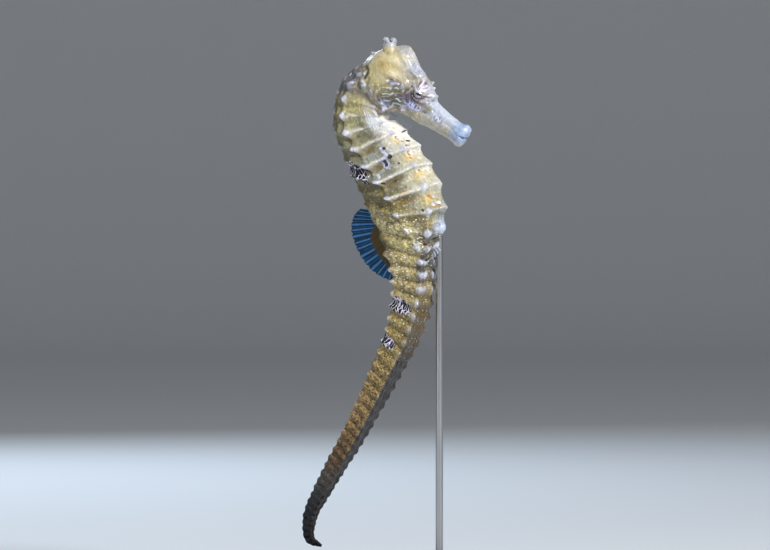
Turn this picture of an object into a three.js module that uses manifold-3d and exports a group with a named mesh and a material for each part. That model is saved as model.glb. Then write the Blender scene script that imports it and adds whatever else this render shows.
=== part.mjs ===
// A lined seahorse at life size, still, held upright by a plain display stand.
// Millimetres. +Z is up, +X is the way its belly and snout face, +Y is its left side.
// The origin is the middle of the stand's underside.
import * as THREE from "three";
import { mergeVertices } from "three/addons/utils/BufferGeometryUtils.js";
import Module from "manifold-3d";

const wasm = await Module();
wasm.setup();

// ---------------------------------------------------------------- driving dimensions

const GAP = 0.3; // left between one named part and the next

// The middle of the body, from inside the back of the head down to the tip of the tail: x, z.
const SPINE = [
  [-3.4, 142.0],
  [-7.0, 139.3],
  [-9.3, 136.3],
  [-10.5, 132.0],
  [-9.8, 127.4],
  [-7.3, 123.6],
  [-4.1, 119.1],
  [-1.4, 114.7],
  [1.5, 109.2],
  [3.7, 101.0],
  [4.1, 92.0],
  [4.7, 83.0],
  [2.2, 71.6],
  [-4.3, 58.6],
  [-12.5, 43.6],
  [-21.8, 28.5],
  [-26.3, 19.7],
  [-26.3, 13.8],
  [-22.9, 12.0],
];

// The bony rings that armour it, from the nape down. Ring 0 is the first of the trunk.
const NAPE_RINGS = 2;
const TRUNK_RINGS = 11;
const TAIL_RINGS = 34;
const NAPE_RING = 3.3; // length of each
const TRUNK_RING = [3.1, 3.3, 3.5, 4.0, 4.9, 5.3, 5.5, 5.5, 5.2, 4.9, 4.6];
const TAIL_RING = { first: 4.0, shrink: 0.66, power: 1.1 };
// How far the belly side of a ring slopes towards the tail, at places counted in rings.
const LEAN = [[0, 0], [2, 0.14], [4, 0.38], [6.5, 0.38], [8.5, 0.28], [11, 0.15], [36, 0.15], [45, 0]];
const TWIST = THREE.MathUtils.degToRad(6); // of the tail, about its own length

// Belly to back, and side to side, at places counted in rings.
const DEPTH = [
  [-2, 10.5], [-0.5, 12], [0.5, 13.2], [2.5, 14.8], [4.5, 17.6], [5.5, 19.6], [6.5, 21],
  [7.5, 21.8], [8.5, 21.8], [9.5, 19.6], [10.5, 15.2], [11.5, 11], [12.5, 8.9],
];
const WIDTH = [
  [-2, 8], [0.5, 9.6], [2.5, 10.8], [4.5, 12], [6.5, 13.2], [8.5, 13.4],
  [9.5, 12.6], [10.5, 11], [11.5, 9.6], [12.5, 8.9],
];
const TAIL = { side: 9.1, decay: 1.1, endPower: 9, from: 12.5 }; // taper from that ring on

// Lengthwise ridges of one side, from the middle of the belly round to the middle of the back.
// Each has places counted in rings, with its share of the depth forward of the middle, its share
// of the width sideways, how far the knob in the middle of a ring stands out, and how far the ring
// slips towards the tail there.
const RIDGES = [
  [ // keel of the belly
    { ring: 9, fore: 0.5, side: 0, knob: 1, slip: 0 },
    { ring: 12, fore: 0.5, side: 0, knob: 0, slip: 0 },
  ],
  [ // lower side of the belly, which dies out under the tail
    { ring: 9, fore: 0.36, side: 0.31, knob: 0.7, slip: 0 },
    { ring: 12, fore: 0.5, side: 0.26, knob: 0, slip: 0 },
  ],
  [ // flank, which runs on as the tail's belly corner
    { ring: 0, fore: -0.22, side: 0.5, knob: 0.8, slip: 0.3 },
    { ring: 4.5, fore: -0.18, side: 0.5, knob: 0.8, slip: 2.2 },
    { ring: 8.5, fore: 0.01, side: 0.5, knob: 0.8, slip: 2 },
    { ring: 9.5, fore: 0.08, side: 0.5, knob: 0.8, slip: 1.2 },
    { ring: 10.5, fore: 0.27, side: 0.49, knob: 0.8, slip: 0.3 },
    { ring: 12, fore: 0.47, side: 0.47, knob: 0.8, slip: 0 },
  ],
  [ // the tail's back corner, which starts beside the fin
    { ring: 9.5, fore: -0.34, side: 0.45, knob: 0, slip: 1 },
    { ring: 11, fore: -0.46, side: 0.46, knob: 0.8, slip: 0 },
    { ring: 12, fore: -0.47, side: 0.47, knob: 0.8, slip: 0 },
  ],
  [ // back, which ends at the fin
    { ring: 8.5, fore: -0.45, side: 0.33, knob: 0.7, slip: 0 },
    { ring: 9.8, fore: -0.45, side: 0.3, knob: 0, slip: 0 },
    { ring: 12, fore: -0.47, side: 0.24, knob: 0, slip: 0 },
  ],
  [ // middle of the back
    { ring: 9, fore: -0.45, side: 0, knob: 0, slip: 0 },
    { ring: 12, fore: -0.47, side: 0, knob: 0, slip: 0 },
  ],
];
const RING_LIFT = 0.45; // a ring's middle over its joints
const FLANK_HOLLOW = 0.35; // plates between ridges, under a straight line, at a joint
const STEPS = { trunk: [0, 0.32, 0.5, 0.68], tail: [0, 0.5] }; // where each ring is cut across

// The head: its own frame sits between the eyes, with its first axis along the snout.
const HEAD = { x: 7.7, z: 135.7, pitch: THREE.MathUtils.degToRad(31) };
// Along the snout, top, widest level, bottom, half width, and how far the top is pinched to a crest.
const HEAD_SECTIONS = [
  { at: -19.6, top: 1.2, widest: -2.2, bottom: -5.2, half: 3.4, pinch: 1.0 },
  { at: -18.0, top: 3.6, widest: -2.8, bottom: -6.8, half: 4.3, pinch: 1.2 },
  { at: -16.0, top: 5.4, widest: -3.4, bottom: -8.4, half: 4.9, pinch: 1.5 },
  { at: -13.5, top: 7.0, widest: -3.9, bottom: -9.8, half: 5.2, pinch: 1.9 },
  { at: -11.2, top: 8.3, widest: -4.2, bottom: -10.6, half: 5.2, pinch: 2.0 },
  { at: -9.4, top: 8.7, widest: -4.3, bottom: -10.8, half: 5.0, pinch: 2.0 },
  { at: -7.6, top: 7.9, widest: -4.3, bottom: -10.3, half: 4.7, pinch: 1.8 },
  { at: -5.0, top: 6.2, widest: -4.2, bottom: -9.1, half: 4.2, pinch: 1.4 },
  { at: -2.5, top: 4.9, widest: -3.9, bottom: -8.1, half: 3.7, pinch: 1.1 },
  { at: 0.0, top: 3.7, widest: -3.6, bottom: -7.8, half: 3.3, pinch: 1.0 },
  { at: 2.8, top: 2.0, widest: -3.6, bottom: -7.9, half: 2.8, pinch: 1.0 },
  { at: 5.2, top: 0.1, widest: -3.9, bottom: -7.5, half: 2.5, pinch: 1.0 },
  { at: 9.5, top: -0.8, widest: -4.0, bottom: -7.1, half: 2.2, pinch: 1.0 },
  { at: 13.5, top: -1.2, widest: -4.0, bottom: -6.9, half: 2.3, pinch: 1.0 },
  { at: 16.2, top: -1.0, widest: -4.0, bottom: -6.9, half: 2.6, pinch: 1.0 },
  { at: 17.8, top: -1.8, widest: -4.0, bottom: -6.0, half: 1.9, pinch: 1.0 },
];
const HEAD_SIDES = 20;
const SNOUT_FROM = 5.2; // along the head's first axis
const EYE = { radius: 1.75, out: 2.35 };
const ORBIT = { radius: 2.8, out: 1.15 };
const MOUTH = { length: 1.6, height: 0.5, level: -3.7 };
// Spines of one side of the head: place, way it points, height and radius.
const HEAD_SPINES = [
  { place: [-0.4, 2.6, 3.3], way: [0, 0.5, 1], height: 1.4, radius: 0.75 }, // over the eye
  { place: [-6.8, 4.0, -8.6], way: [-0.2, 0.8, -0.7], height: 1.2, radius: 0.9 }, // cheek
  { place: [-2.2, 3.3, -6.2], way: [0, 1, -0.6], height: 0.8, radius: 0.8 }, // under the eye
  { place: [-18.4, 1.6, 1.8], way: [-0.6, 0.3, 0.8], height: 1.3, radius: 0.8 }, // nape
];
const CORONET = { x: -2.6, z: 147.6, height: 3.0, radius: 1.1, knob: 0.6, points: 5 };

const DORSAL_FIN = { from: 8.9, to: 12, rays: 17, thickness: 0.6, sink: 1 };
const DORSAL_RAY = [[0, 4.6], [0.15, 7.8], [0.35, 10], [0.6, 9.2], [0.85, 6.4], [1, 3.2]]; // length
const ANAL_FIN = { at: 10.6, length: 2.8, width: 1.8, thickness: 0.6 };
const PECTORAL = { x: -6.8, y: 5.9, z: 131.8, rays: 11, root: 2.1, length: 5.2, thickness: 0.6 };

const BASE = { length: 80, width: 54, height: 8, corner: 9, bevel: 0.8 };
const ROD = { radius: 1, x: 11.6, y: 2.2, top: 98 };

// ---------------------------------------------------------------- helpers

const { degToRad, lerp: mix, smoothstep, clamp } = THREE.MathUtils;

// A smooth line through [place, value] pairs.
function through(keys, place) {
  const last = keys.length - 1;
  if (place <= keys[0][0]) return keys[0][1];
  if (place >= keys[last][0]) return keys[last][1];
  const i = keys.findIndex((key) => key[0] > place) - 1;
  const slope = (n) => {
    const before = keys[Math.max(0, n - 1)];
    const after = keys[Math.min(last, n + 1)];
    return (after[1] - before[1]) / (after[0] - before[0]);
  };
  const span = keys[i + 1][0] - keys[i][0];
  const t = (place - keys[i][0]) / span;
  const a = keys[i][1];
  const b = keys[i + 1][1];
  const fall = 2 * t ** 3 - 3 * t ** 2 + 1;
  return (
    a * fall +
    b * (1 - fall) +
    slope(i) * span * (t ** 3 - 2 * t ** 2 + t) +
    slope(i + 1) * span * (t ** 3 - t ** 2)
  );
}

// A closed tube: a cylinder whose rings of vertices are laid on the outlines, one for each station.
function loft(outlines) {
  const sides = outlines[0].length;
  const steps = outlines.length - 1;
  const centres = outlines.map((points) =>
    points.reduce((sum, p) => sum.add(p), new THREE.Vector3()).divideScalar(sides),
  );
  const geometry = new THREE.CylinderGeometry(1, 1, 1, sides, steps);
  const position = geometry.getAttribute("position");
  for (let i = 0; i < position.count; i++) {
    const [x, y, z] = [position.getX(i), position.getY(i), position.getZ(i)];
    const station = Math.round((0.5 - y) * steps);
    const turn = Math.round((Math.atan2(x, z) / (2 * Math.PI)) * sides);
    const onAxis = Math.hypot(x, z) < 0.5;
    const p = onAxis ? centres[station] : outlines[station][(turn + sides) % sides];
    position.setXYZ(i, p.x, p.y, p.z);
  }
  return geometry;
}

function solidOf(geometry) {
  const bare = geometry.clone();
  bare.deleteAttribute("normal");
  bare.deleteAttribute("uv");
  const merged = mergeVertices(bare, 1e-4);
  return new wasm.Manifold(
    new wasm.Mesh({
      numProp: 3,
      vertProperties: new Float32Array(merged.getAttribute("position").array),
      triVerts: new Uint32Array(merged.index.array),
    }),
  );
}

function geometryOf(solid) {
  const mesh = solid.getMesh();
  const geometry = new THREE.BufferGeometry();
  geometry.setAttribute("position", new THREE.BufferAttribute(mesh.vertProperties, 3));
  geometry.setIndex(new THREE.BufferAttribute(mesh.triVerts, 1));
  return geometry;
}

// The largest body of a solid, without the slivers that a cut leaves.
const largest = (solid) => solid.decompose().sort((a, b) => b.volume() - a.volume())[0];

// ---------------------------------------------------------------- body

const spine = new THREE.CatmullRomCurve3(SPINE.map(([x, z]) => new THREE.Vector3(x, 0, z)));
spine.arcLengthDivisions = 2000;
const SPINE_LENGTH = spine.getLength();

const tailRing = (n) =>
  TAIL_RING.first * (1 - TAIL_RING.shrink * (n / (TAIL_RINGS - 1)) ** TAIL_RING.power);
const ringLengths = [
  ...Array(NAPE_RINGS).fill(NAPE_RING),
  ...TRUNK_RING,
  ...Array.from({ length: TAIL_RINGS }, (_, n) => tailRing(n)),
];
const LAST_RING = TRUNK_RINGS + TAIL_RINGS;
// Ring joints measured along the spine, stretched so that the last is the tip of the tail.
const joints = [0];
ringLengths.forEach((length) => joints.push(joints.at(-1) + length));
const stretch = SPINE_LENGTH / joints.at(-1);

// Millimetres along the spine at a place counted in rings.
function reach(ring) {
  const place = clamp(ring + NAPE_RINGS, 0, ringLengths.length);
  const whole = Math.min(Math.floor(place), ringLengths.length - 1);
  return (joints[whole] + (place - whole) * ringLengths[whole]) * stretch;
}

// The body's frame at a place: its middle, the way to the belly, to the left and down the body.
function frameAt(ring, shift = 0) {
  const u = clamp((reach(ring) + shift) / SPINE_LENGTH, 0, 1);
  const down = spine.getTangentAt(u);
  const left = new THREE.Vector3(0, 1, 0);
  const belly = new THREE.Vector3().crossVectors(down, left);
  const twist = TWIST * smoothstep(ring, TRUNK_RINGS - 1, TRUNK_RINGS + 6);
  left.applyAxisAngle(down, twist);
  belly.applyAxisAngle(down, twist);
  return { middle: spine.getPointAt(u), belly, left, down };
}

function sizeAt(keys, ring) {
  const start = reach(TAIL.from);
  const t = clamp((reach(ring) - start) / (SPINE_LENGTH - start), 0, 0.99);
  const taper = TAIL.side * Math.exp(-TAIL.decay * t) * Math.sqrt(1 - t ** TAIL.endPower);
  return mix(through(keys, ring), taper, smoothstep(ring, TAIL.from - 0.5, TAIL.from));
}

const ridgeAt = (ridge, ring, value) =>
  through(ridge.map((key) => [key.ring, key[value]]), ring);

// Puts a point further from the body's middle, as seen along it.
function outward(point, distance) {
  const radius = Math.hypot(point.x, point.y);
  const scale = Math.max(0.2, radius + distance) / radius;
  return new THREE.Vector3(point.x * scale, point.y * scale, point.z);
}

// The outline of the body at a place, grown outwards where a neighbour is cut to clear it.
function outlineAt(ring, shift = 0, grow = 0) {
  const { middle, belly, left, down } = frameAt(ring, shift);
  const depth = sizeAt(DEPTH, ring);
  const width = sizeAt(WIDTH, ring);
  const rise = Math.abs(Math.sin(Math.PI * (ring - Math.round(ring)))); // 0 at a joint
  const small = Math.min(1, width / TAIL.side);
  const corners = RIDGES.map((ridge) => {
    const at = (value) => ridgeAt(ridge, ring, value);
    const flat = new THREE.Vector3(at("fore") * depth, at("side") * width, at("slip"));
    return {
      flat: outward(flat, RING_LIFT * small * rise ** 2 + grow),
      knob: at("knob") * small * rise ** 5,
    };
  });
  const half = [];
  corners.forEach(({ flat, knob }, i) => {
    half.push(outward(flat, knob));
    if (i + 1 === corners.length) return;
    const between = flat.clone().lerp(corners[i + 1].flat, 0.5);
    half.push(outward(between, -FLANK_HOLLOW * small * (1 - rise)));
  });
  const mirrored = half.slice(1, -1).reverse().map((p) => new THREE.Vector3(p.x, -p.y, p.z));
  const lean = through(LEAN, ring);
  return [...half, ...mirrored].map((p) =>
    middle.clone()
      .addScaledVector(belly, p.x)
      .addScaledVector(left, p.y)
      .addScaledVector(down, p.z + lean * p.x),
  );
}

// One length of the body, drawn back by half a gap at each end that has a neighbour.
function bodyLength(from, to, grow = 0) {
  const places = [];
  for (let ring = from; ring < to; ring++) {
    const steps = ring < TRUNK_RINGS ? STEPS.trunk : STEPS.tail;
    steps.forEach((step) => places.push(ring + step));
  }
  places.push(to);
  const outlines = places.map((place, i) => {
    const inward = Number(i === 0) - Number(i === places.length - 1);
    const shift = place === LAST_RING ? 0 : (inward * GAP) / 2;
    return outlineAt(place, shift, grow);
  });
  return solidOf(loft(outlines));
}

// ---------------------------------------------------------------- head

const headFrame = new THREE.Matrix4()
  .makeTranslation(HEAD.x, 0, HEAD.z)
  .multiply(new THREE.Matrix4().makeRotationY(HEAD.pitch));
const inHead = (along, left, up) => new THREE.Vector3(along, left, up).applyMatrix4(headFrame);

function headOutline({ at, top, widest, bottom, half, pinch }, grow) {
  return Array.from({ length: HEAD_SIDES }, (_, i) => {
    const angle = (2 * Math.PI * i) / HEAD_SIDES;
    const up = Math.cos(angle);
    const out = Math.sin(angle);
    const reachUp = up > 0 ? top - widest + grow : widest - bottom + grow;
    const power = up > 0 ? mix(1, pinch, up) : 1;
    const left = Math.sign(out) * (half + grow) * Math.abs(out) ** power;
    return inHead(at, left, widest + up * reachUp);
  });
}

function headBetween(from, to, grow = 0) {
  const within = ({ at }) => at > from + GAP && at < to - GAP;
  const sections = [from, ...HEAD_SECTIONS.filter(within).map(({ at }) => at), to].map((at) => {
    const section = { at };
    ["top", "widest", "bottom", "half", "pinch"].forEach((key) => {
      section[key] = through(HEAD_SECTIONS.map((s) => [s.at, s[key]]), at);
    });
    return section;
  });
  return solidOf(loft(sections.map((section) => headOutline(section, grow))));
}

function ball(radius, centre) {
  const geometry = new THREE.SphereGeometry(radius, 14, 9);
  return solidOf(geometry.rotateX(Math.PI / 2).translate(centre.x, centre.y, centre.z));
}

// A blunt bony spine: a cone with a rounded end, standing at a place and pointing a way.
function bluntSpine(base, way, height, radius) {
  const profile = [[0, -0.6], [1, -0.6], [0.8, 0.2], [0.45, 0.8], [0, 1]];
  const points = profile.map(([r, h]) => new THREE.Vector2(r * radius, h * height));
  const turn = new THREE.Quaternion().setFromUnitVectors(
    new THREE.Vector3(0, 1, 0),
    way.clone().normalize(),
  );
  const geometry = new THREE.LatheGeometry(points, 7).applyQuaternion(turn);
  return solidOf(geometry.translate(base.x, base.y, base.z));
}

const SIDES = [
  { name: "left", sign: 1 },
  { name: "right", sign: -1 },
];

function headSolid(grow = 0) {
  let head = headBetween(HEAD_SECTIONS[0].at - grow, SNOUT_FROM - GAP / 2, grow);
  SIDES.forEach(({ sign }) => {
    head = head.add(ball(ORBIT.radius + grow, inHead(0, sign * ORBIT.out, 0)));
    HEAD_SPINES.forEach(({ place, way, height, radius }) => {
      const base = inHead(place[0], sign * place[1], place[2]);
      const tip = inHead(way[0], sign * way[1], way[2]).sub(inHead(0, 0, 0));
      head = head.add(bluntSpine(base, tip, height + grow, radius + grow));
    });
  });
  return head;
}

function snoutSolid() {
  const tip = HEAD_SECTIONS.at(-1).at;
  const mouth = new THREE.BoxGeometry(2 * MOUTH.length, 8, MOUTH.height);
  mouth.translate(tip, 0, MOUTH.level).applyMatrix4(headFrame);
  return headBetween(SNOUT_FROM + GAP / 2, tip).subtract(solidOf(mouth));
}

// The crown: a short stalk with a ring of knobs on its rim.
function coronetSolid() {
  const { x, z, height, radius, knob, points } = CORONET;
  const profile = [[0, -2], [1.4, -2], [0.85, 0.4 * height], [1, 0.8 * height], [0, 0.65 * height]];
  const stalk = new THREE.LatheGeometry(
    profile.map(([r, h]) => new THREE.Vector2(r * radius, h)),
    10,
  );
  let coronet = solidOf(stalk.rotateX(Math.PI / 2).translate(x, 0, z));
  for (let n = 0; n < points; n++) {
    const angle = (2 * Math.PI * (n + 0.5)) / points;
    const out = new THREE.Vector3(Math.cos(angle), Math.sin(angle), 0);
    const rim = new THREE.Vector3(x, 0, z + 0.75 * height).addScaledVector(out, 0.8 * radius);
    coronet = coronet.add(bluntSpine(rim, out.setZ(1.6), 1.2, knob));
  }
  return coronet;
}

// ---------------------------------------------------------------- fins

// A thin plate in the plane of x and z: each ray has a root and a tip, and the tips make the rim.
function fan(rays, thickness) {
  const outline = [...rays.map(({ root }) => root), ...rays.map(({ tip }) => tip).reverse()];
  const geometry = new THREE.ExtrudeGeometry(new THREE.Shape(outline), {
    depth: thickness,
    bevelEnabled: false,
  });
  return geometry.translate(0, 0, -thickness / 2).rotateX(Math.PI / 2);
}

const ray = (root, angle, length) => {
  const way = new THREE.Vector2(Math.cos(angle), Math.sin(angle));
  return { root, tip: root.clone().addScaledVector(way, length) };
};

// A point of the middle of the back or belly, sunk a little under the surface.
function onMiddle(ring, share, sink) {
  const { middle, belly, down } = frameAt(ring);
  const offset = share * sizeAt(DEPTH, ring) - Math.sign(share) * sink;
  const p = middle
    .addScaledVector(belly, offset)
    .addScaledVector(down, through(LEAN, ring) * offset);
  return new THREE.Vector2(p.x, p.z);
}

// Its rays leave the middle of the back, the first pointing back and the last nearly down.
function dorsalFin() {
  const { from, to, rays, thickness, sink } = DORSAL_FIN;
  const list = Array.from({ length: rays }, (_, n) => {
    const share = n / (rays - 1);
    const angle = degToRad(172 + 90 * share ** 1.6);
    const length = sink + through(DORSAL_RAY, share);
    return ray(onMiddle(mix(from, to, share), -0.45, sink), angle, length);
  });
  return solidOf(fan(list, thickness));
}

// A small tag behind the vent, pointing down.
function analFin() {
  const { at, length, width, thickness } = ANAL_FIN;
  const root = onMiddle(at, 0.5, 0.8);
  const list = [-1, 0, 1].map((side) => {
    const start = root.clone().add(new THREE.Vector2(side * 0.3 * width, side * 0.5 * width));
    return ray(start, degToRad(-62 + 14 * side), length);
  });
  return solidOf(fan(list, thickness));
}

// Behind each cheek, folded back along the neck and standing a little off it.
function pectoralFin(sign) {
  const { x, y, z, rays, root, length, thickness } = PECTORAL;
  const list = Array.from({ length: rays }, (_, n) => {
    const share = n / (rays - 1);
    const start = new THREE.Vector2(mix(-root, root, share), mix(0.7, -0.7, share) * root);
    const rounding = 0.86 + 0.14 * Math.sin(Math.PI * share);
    return ray(start, degToRad(mix(-112, -40, share)), length * rounding);
  });
  const geometry = fan(list, thickness).rotateX(degToRad(sign * 10));
  return solidOf(geometry.translate(x, sign * y, z));
}

// ---------------------------------------------------------------- stand

function standBase() {
  const { length, width, height, corner, bevel } = BASE;
  const [x, y] = [length / 2 - bevel - corner, width / 2 - bevel - corner];
  const outline = new THREE.Shape()
    .absarc(x, y, corner, 0, Math.PI / 2)
    .absarc(-x, y, corner, Math.PI / 2, Math.PI)
    .absarc(-x, -y, corner, Math.PI, 1.5 * Math.PI)
    .absarc(x, -y, corner, 1.5 * Math.PI, 2 * Math.PI);
  return new THREE.ExtrudeGeometry(outline, {
    depth: height - 2 * bevel,
    bevelThickness: bevel,
    bevelSize: bevel,
    bevelSegments: 1,
    curveSegments: 6,
  }).translate(0, 0, bevel);
}

// One straight rod, up from the base beside the anal fin and into the underside of the belly.
function standRod() {
  const { radius, x, y, top } = ROD;
  const bottom = BASE.height + GAP;
  const rod = new THREE.CylinderGeometry(radius, radius, top - bottom, 20);
  return solidOf(rod.rotateX(Math.PI / 2).translate(x, y, (top + bottom) / 2));
}

// ---------------------------------------------------------------- the parts, named and coloured

const MATERIALS = {
  hide: new THREE.MeshStandardMaterial({ color: 0xc9b277, roughness: 0.5 }),
  tail: new THREE.MeshStandardMaterial({ color: 0x8a7040, roughness: 0.5 }),
  tip: new THREE.MeshStandardMaterial({ color: 0x3a3028, roughness: 0.5 }),
  snout: new THREE.MeshStandardMaterial({ color: 0xd9cfc0, roughness: 0.45 }),
  fin: new THREE.MeshStandardMaterial({ color: 0x4a6684, roughness: 0.4 }),
  eye: new THREE.MeshStandardMaterial({ color: 0x6d5f52, roughness: 0.1 }),
  base: new THREE.MeshStandardMaterial({ color: 0x2a2421, roughness: 0.4 }),
  rod: new THREE.MeshStandardMaterial({ color: 0xb8babd, roughness: 0.25, metalness: 1 }),
};

const seahorse = new THREE.Group();
function part(name, shape, material) {
  const geometry = shape.isBufferGeometry ? shape : geometryOf(largest(shape));
  const mesh = new THREE.Mesh(geometry, material);
  mesh.name = name;
  seahorse.add(mesh);
}

const clearOfHead = headSolid(GAP);
const clearOfBody = bodyLength(-NAPE_RINGS, TRUNK_RINGS + 3, GAP);
const eyes = SIDES.map(({ sign }) => inHead(0, sign * EYE.out, 0));
const sockets = eyes.map((centre) => ball(EYE.radius + GAP, centre));

part("head", headSolid().subtract(sockets[0]).subtract(sockets[1]), MATERIALS.hide);
part("snout", snoutSolid(), MATERIALS.snout);
part("coronet", coronetSolid().subtract(clearOfHead), MATERIALS.hide);
SIDES.forEach(({ name, sign }, i) => {
  part(`eye_${name}`, ball(EYE.radius, eyes[i]), MATERIALS.eye);
  const fin = pectoralFin(sign).subtract(clearOfBody).subtract(clearOfHead);
  part(`pectoral_fin_${name}`, fin, MATERIALS.fin);
});

const LENGTHS = [
  { name: "neck", from: -NAPE_RINGS, to: 2, material: MATERIALS.hide },
  { name: "trunk_upper", from: 2, to: 5, material: MATERIALS.hide },
  { name: "trunk_middle", from: 5, to: 8, material: MATERIALS.hide },
  { name: "trunk_lower", from: 8, to: 11, material: MATERIALS.hide },
  { name: "tail_1", from: 11, to: 16, material: MATERIALS.tail },
  { name: "tail_2", from: 16, to: 22, material: MATERIALS.tail },
  { name: "tail_3", from: 22, to: 29, material: MATERIALS.tail },
  { name: "tail_4", from: 29, to: 37, material: MATERIALS.tip },
  { name: "tail_5", from: 37, to: LAST_RING, material: MATERIALS.tip },
];
LENGTHS.forEach(({ name, from, to, material }) => {
  const length = bodyLength(from, to);
  part(name, from < 5 ? length.subtract(clearOfHead) : length, material);
});

part("dorsal_fin", dorsalFin().subtract(clearOfBody), MATERIALS.fin);
part("anal_fin", analFin().subtract(clearOfBody), MATERIALS.fin);
part("stand_base", standBase(), MATERIALS.base);
part("stand_rod", standRod().subtract(clearOfBody), MATERIALS.rod);

export default seahorse;
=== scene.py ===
import math

import bmesh
import bpy
import numpy as np
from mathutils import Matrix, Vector, kdtree


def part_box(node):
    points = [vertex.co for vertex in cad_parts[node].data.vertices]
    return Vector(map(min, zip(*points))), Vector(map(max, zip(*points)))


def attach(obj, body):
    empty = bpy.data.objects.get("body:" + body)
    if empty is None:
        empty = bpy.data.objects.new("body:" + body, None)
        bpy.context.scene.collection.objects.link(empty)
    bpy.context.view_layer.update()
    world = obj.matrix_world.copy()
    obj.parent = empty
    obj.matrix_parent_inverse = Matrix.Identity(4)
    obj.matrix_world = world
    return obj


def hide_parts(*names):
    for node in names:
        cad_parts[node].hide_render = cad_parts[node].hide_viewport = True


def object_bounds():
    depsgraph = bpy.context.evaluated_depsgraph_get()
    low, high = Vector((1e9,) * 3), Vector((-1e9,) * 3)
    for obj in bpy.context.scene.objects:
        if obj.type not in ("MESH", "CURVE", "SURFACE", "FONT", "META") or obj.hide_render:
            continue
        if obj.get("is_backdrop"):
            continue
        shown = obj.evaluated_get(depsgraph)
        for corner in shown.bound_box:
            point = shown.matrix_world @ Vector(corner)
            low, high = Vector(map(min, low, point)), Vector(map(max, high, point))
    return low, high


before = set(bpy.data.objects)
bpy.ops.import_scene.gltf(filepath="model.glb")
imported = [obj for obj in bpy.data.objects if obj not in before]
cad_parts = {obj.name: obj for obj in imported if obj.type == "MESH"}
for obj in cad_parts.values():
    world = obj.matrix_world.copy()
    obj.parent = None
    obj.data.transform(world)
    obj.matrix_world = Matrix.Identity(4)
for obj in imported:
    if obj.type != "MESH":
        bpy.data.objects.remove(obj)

solids_low, solids_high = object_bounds()

# ---------------------------------------------------------------- floor, lights and camera
# A pale sweep of paper that runs from the floor up behind the model, three soft lamps, and a
# camera to the front right of the animal, a little above the height of its belly.

MM = 0.001
SWEEP = {"radius": 2.1, "bend": 0.5, "bend_steps": 10, "wall": 0.8}
CAMERA_AZIMUTH = math.radians(25)
CAMERA_ELEVATION = math.radians(1)
CAMERA_DISTANCE = 1.6
VIEW_WIDTH = 0.2090  # of what the camera sees at the animal
AIM = Vector((0, 0, 82.06 * MM))
AIM_SHIFT = (-3.29 * MM, 4.12 * MM)  # right and up, to the middle of the picture
SENSOR = 36
LAMPS = [  # name, place, size, watts, colour
    ("key", (0.68, -0.40, 0.68), 0.20, 11.0, (0.96, 0.99, 1.0)),
    ("fill", (-0.5, -0.9, 0.20), 0.8, 1.6, (0.88, 0.94, 1.0)),
    ("rim", (-0.55, 0.55, 0.45), 0.4, 3.0, (0.70, 0.84, 1.0)),
]
LAMP_TARGET = Vector((0, 0, 0.08))
ROOM_LIGHT = {"colour": (0.86, 0.90, 0.95, 1), "strength": 0.16}


def deselect_all():
    for item in bpy.context.selected_objects:
        item.select_set(False)


def only(piece):
    """Selects one piece and nothing else, for the operators that follow."""
    deselect_all()
    piece.select_set(True)
    bpy.context.view_layer.objects.active = piece


def own_place(piece):
    """Puts the piece's place and size into its mesh, so that its object sits at the origin."""
    only(piece)
    bpy.ops.object.transform_apply(location=True, rotation=True, scale=True)


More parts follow.
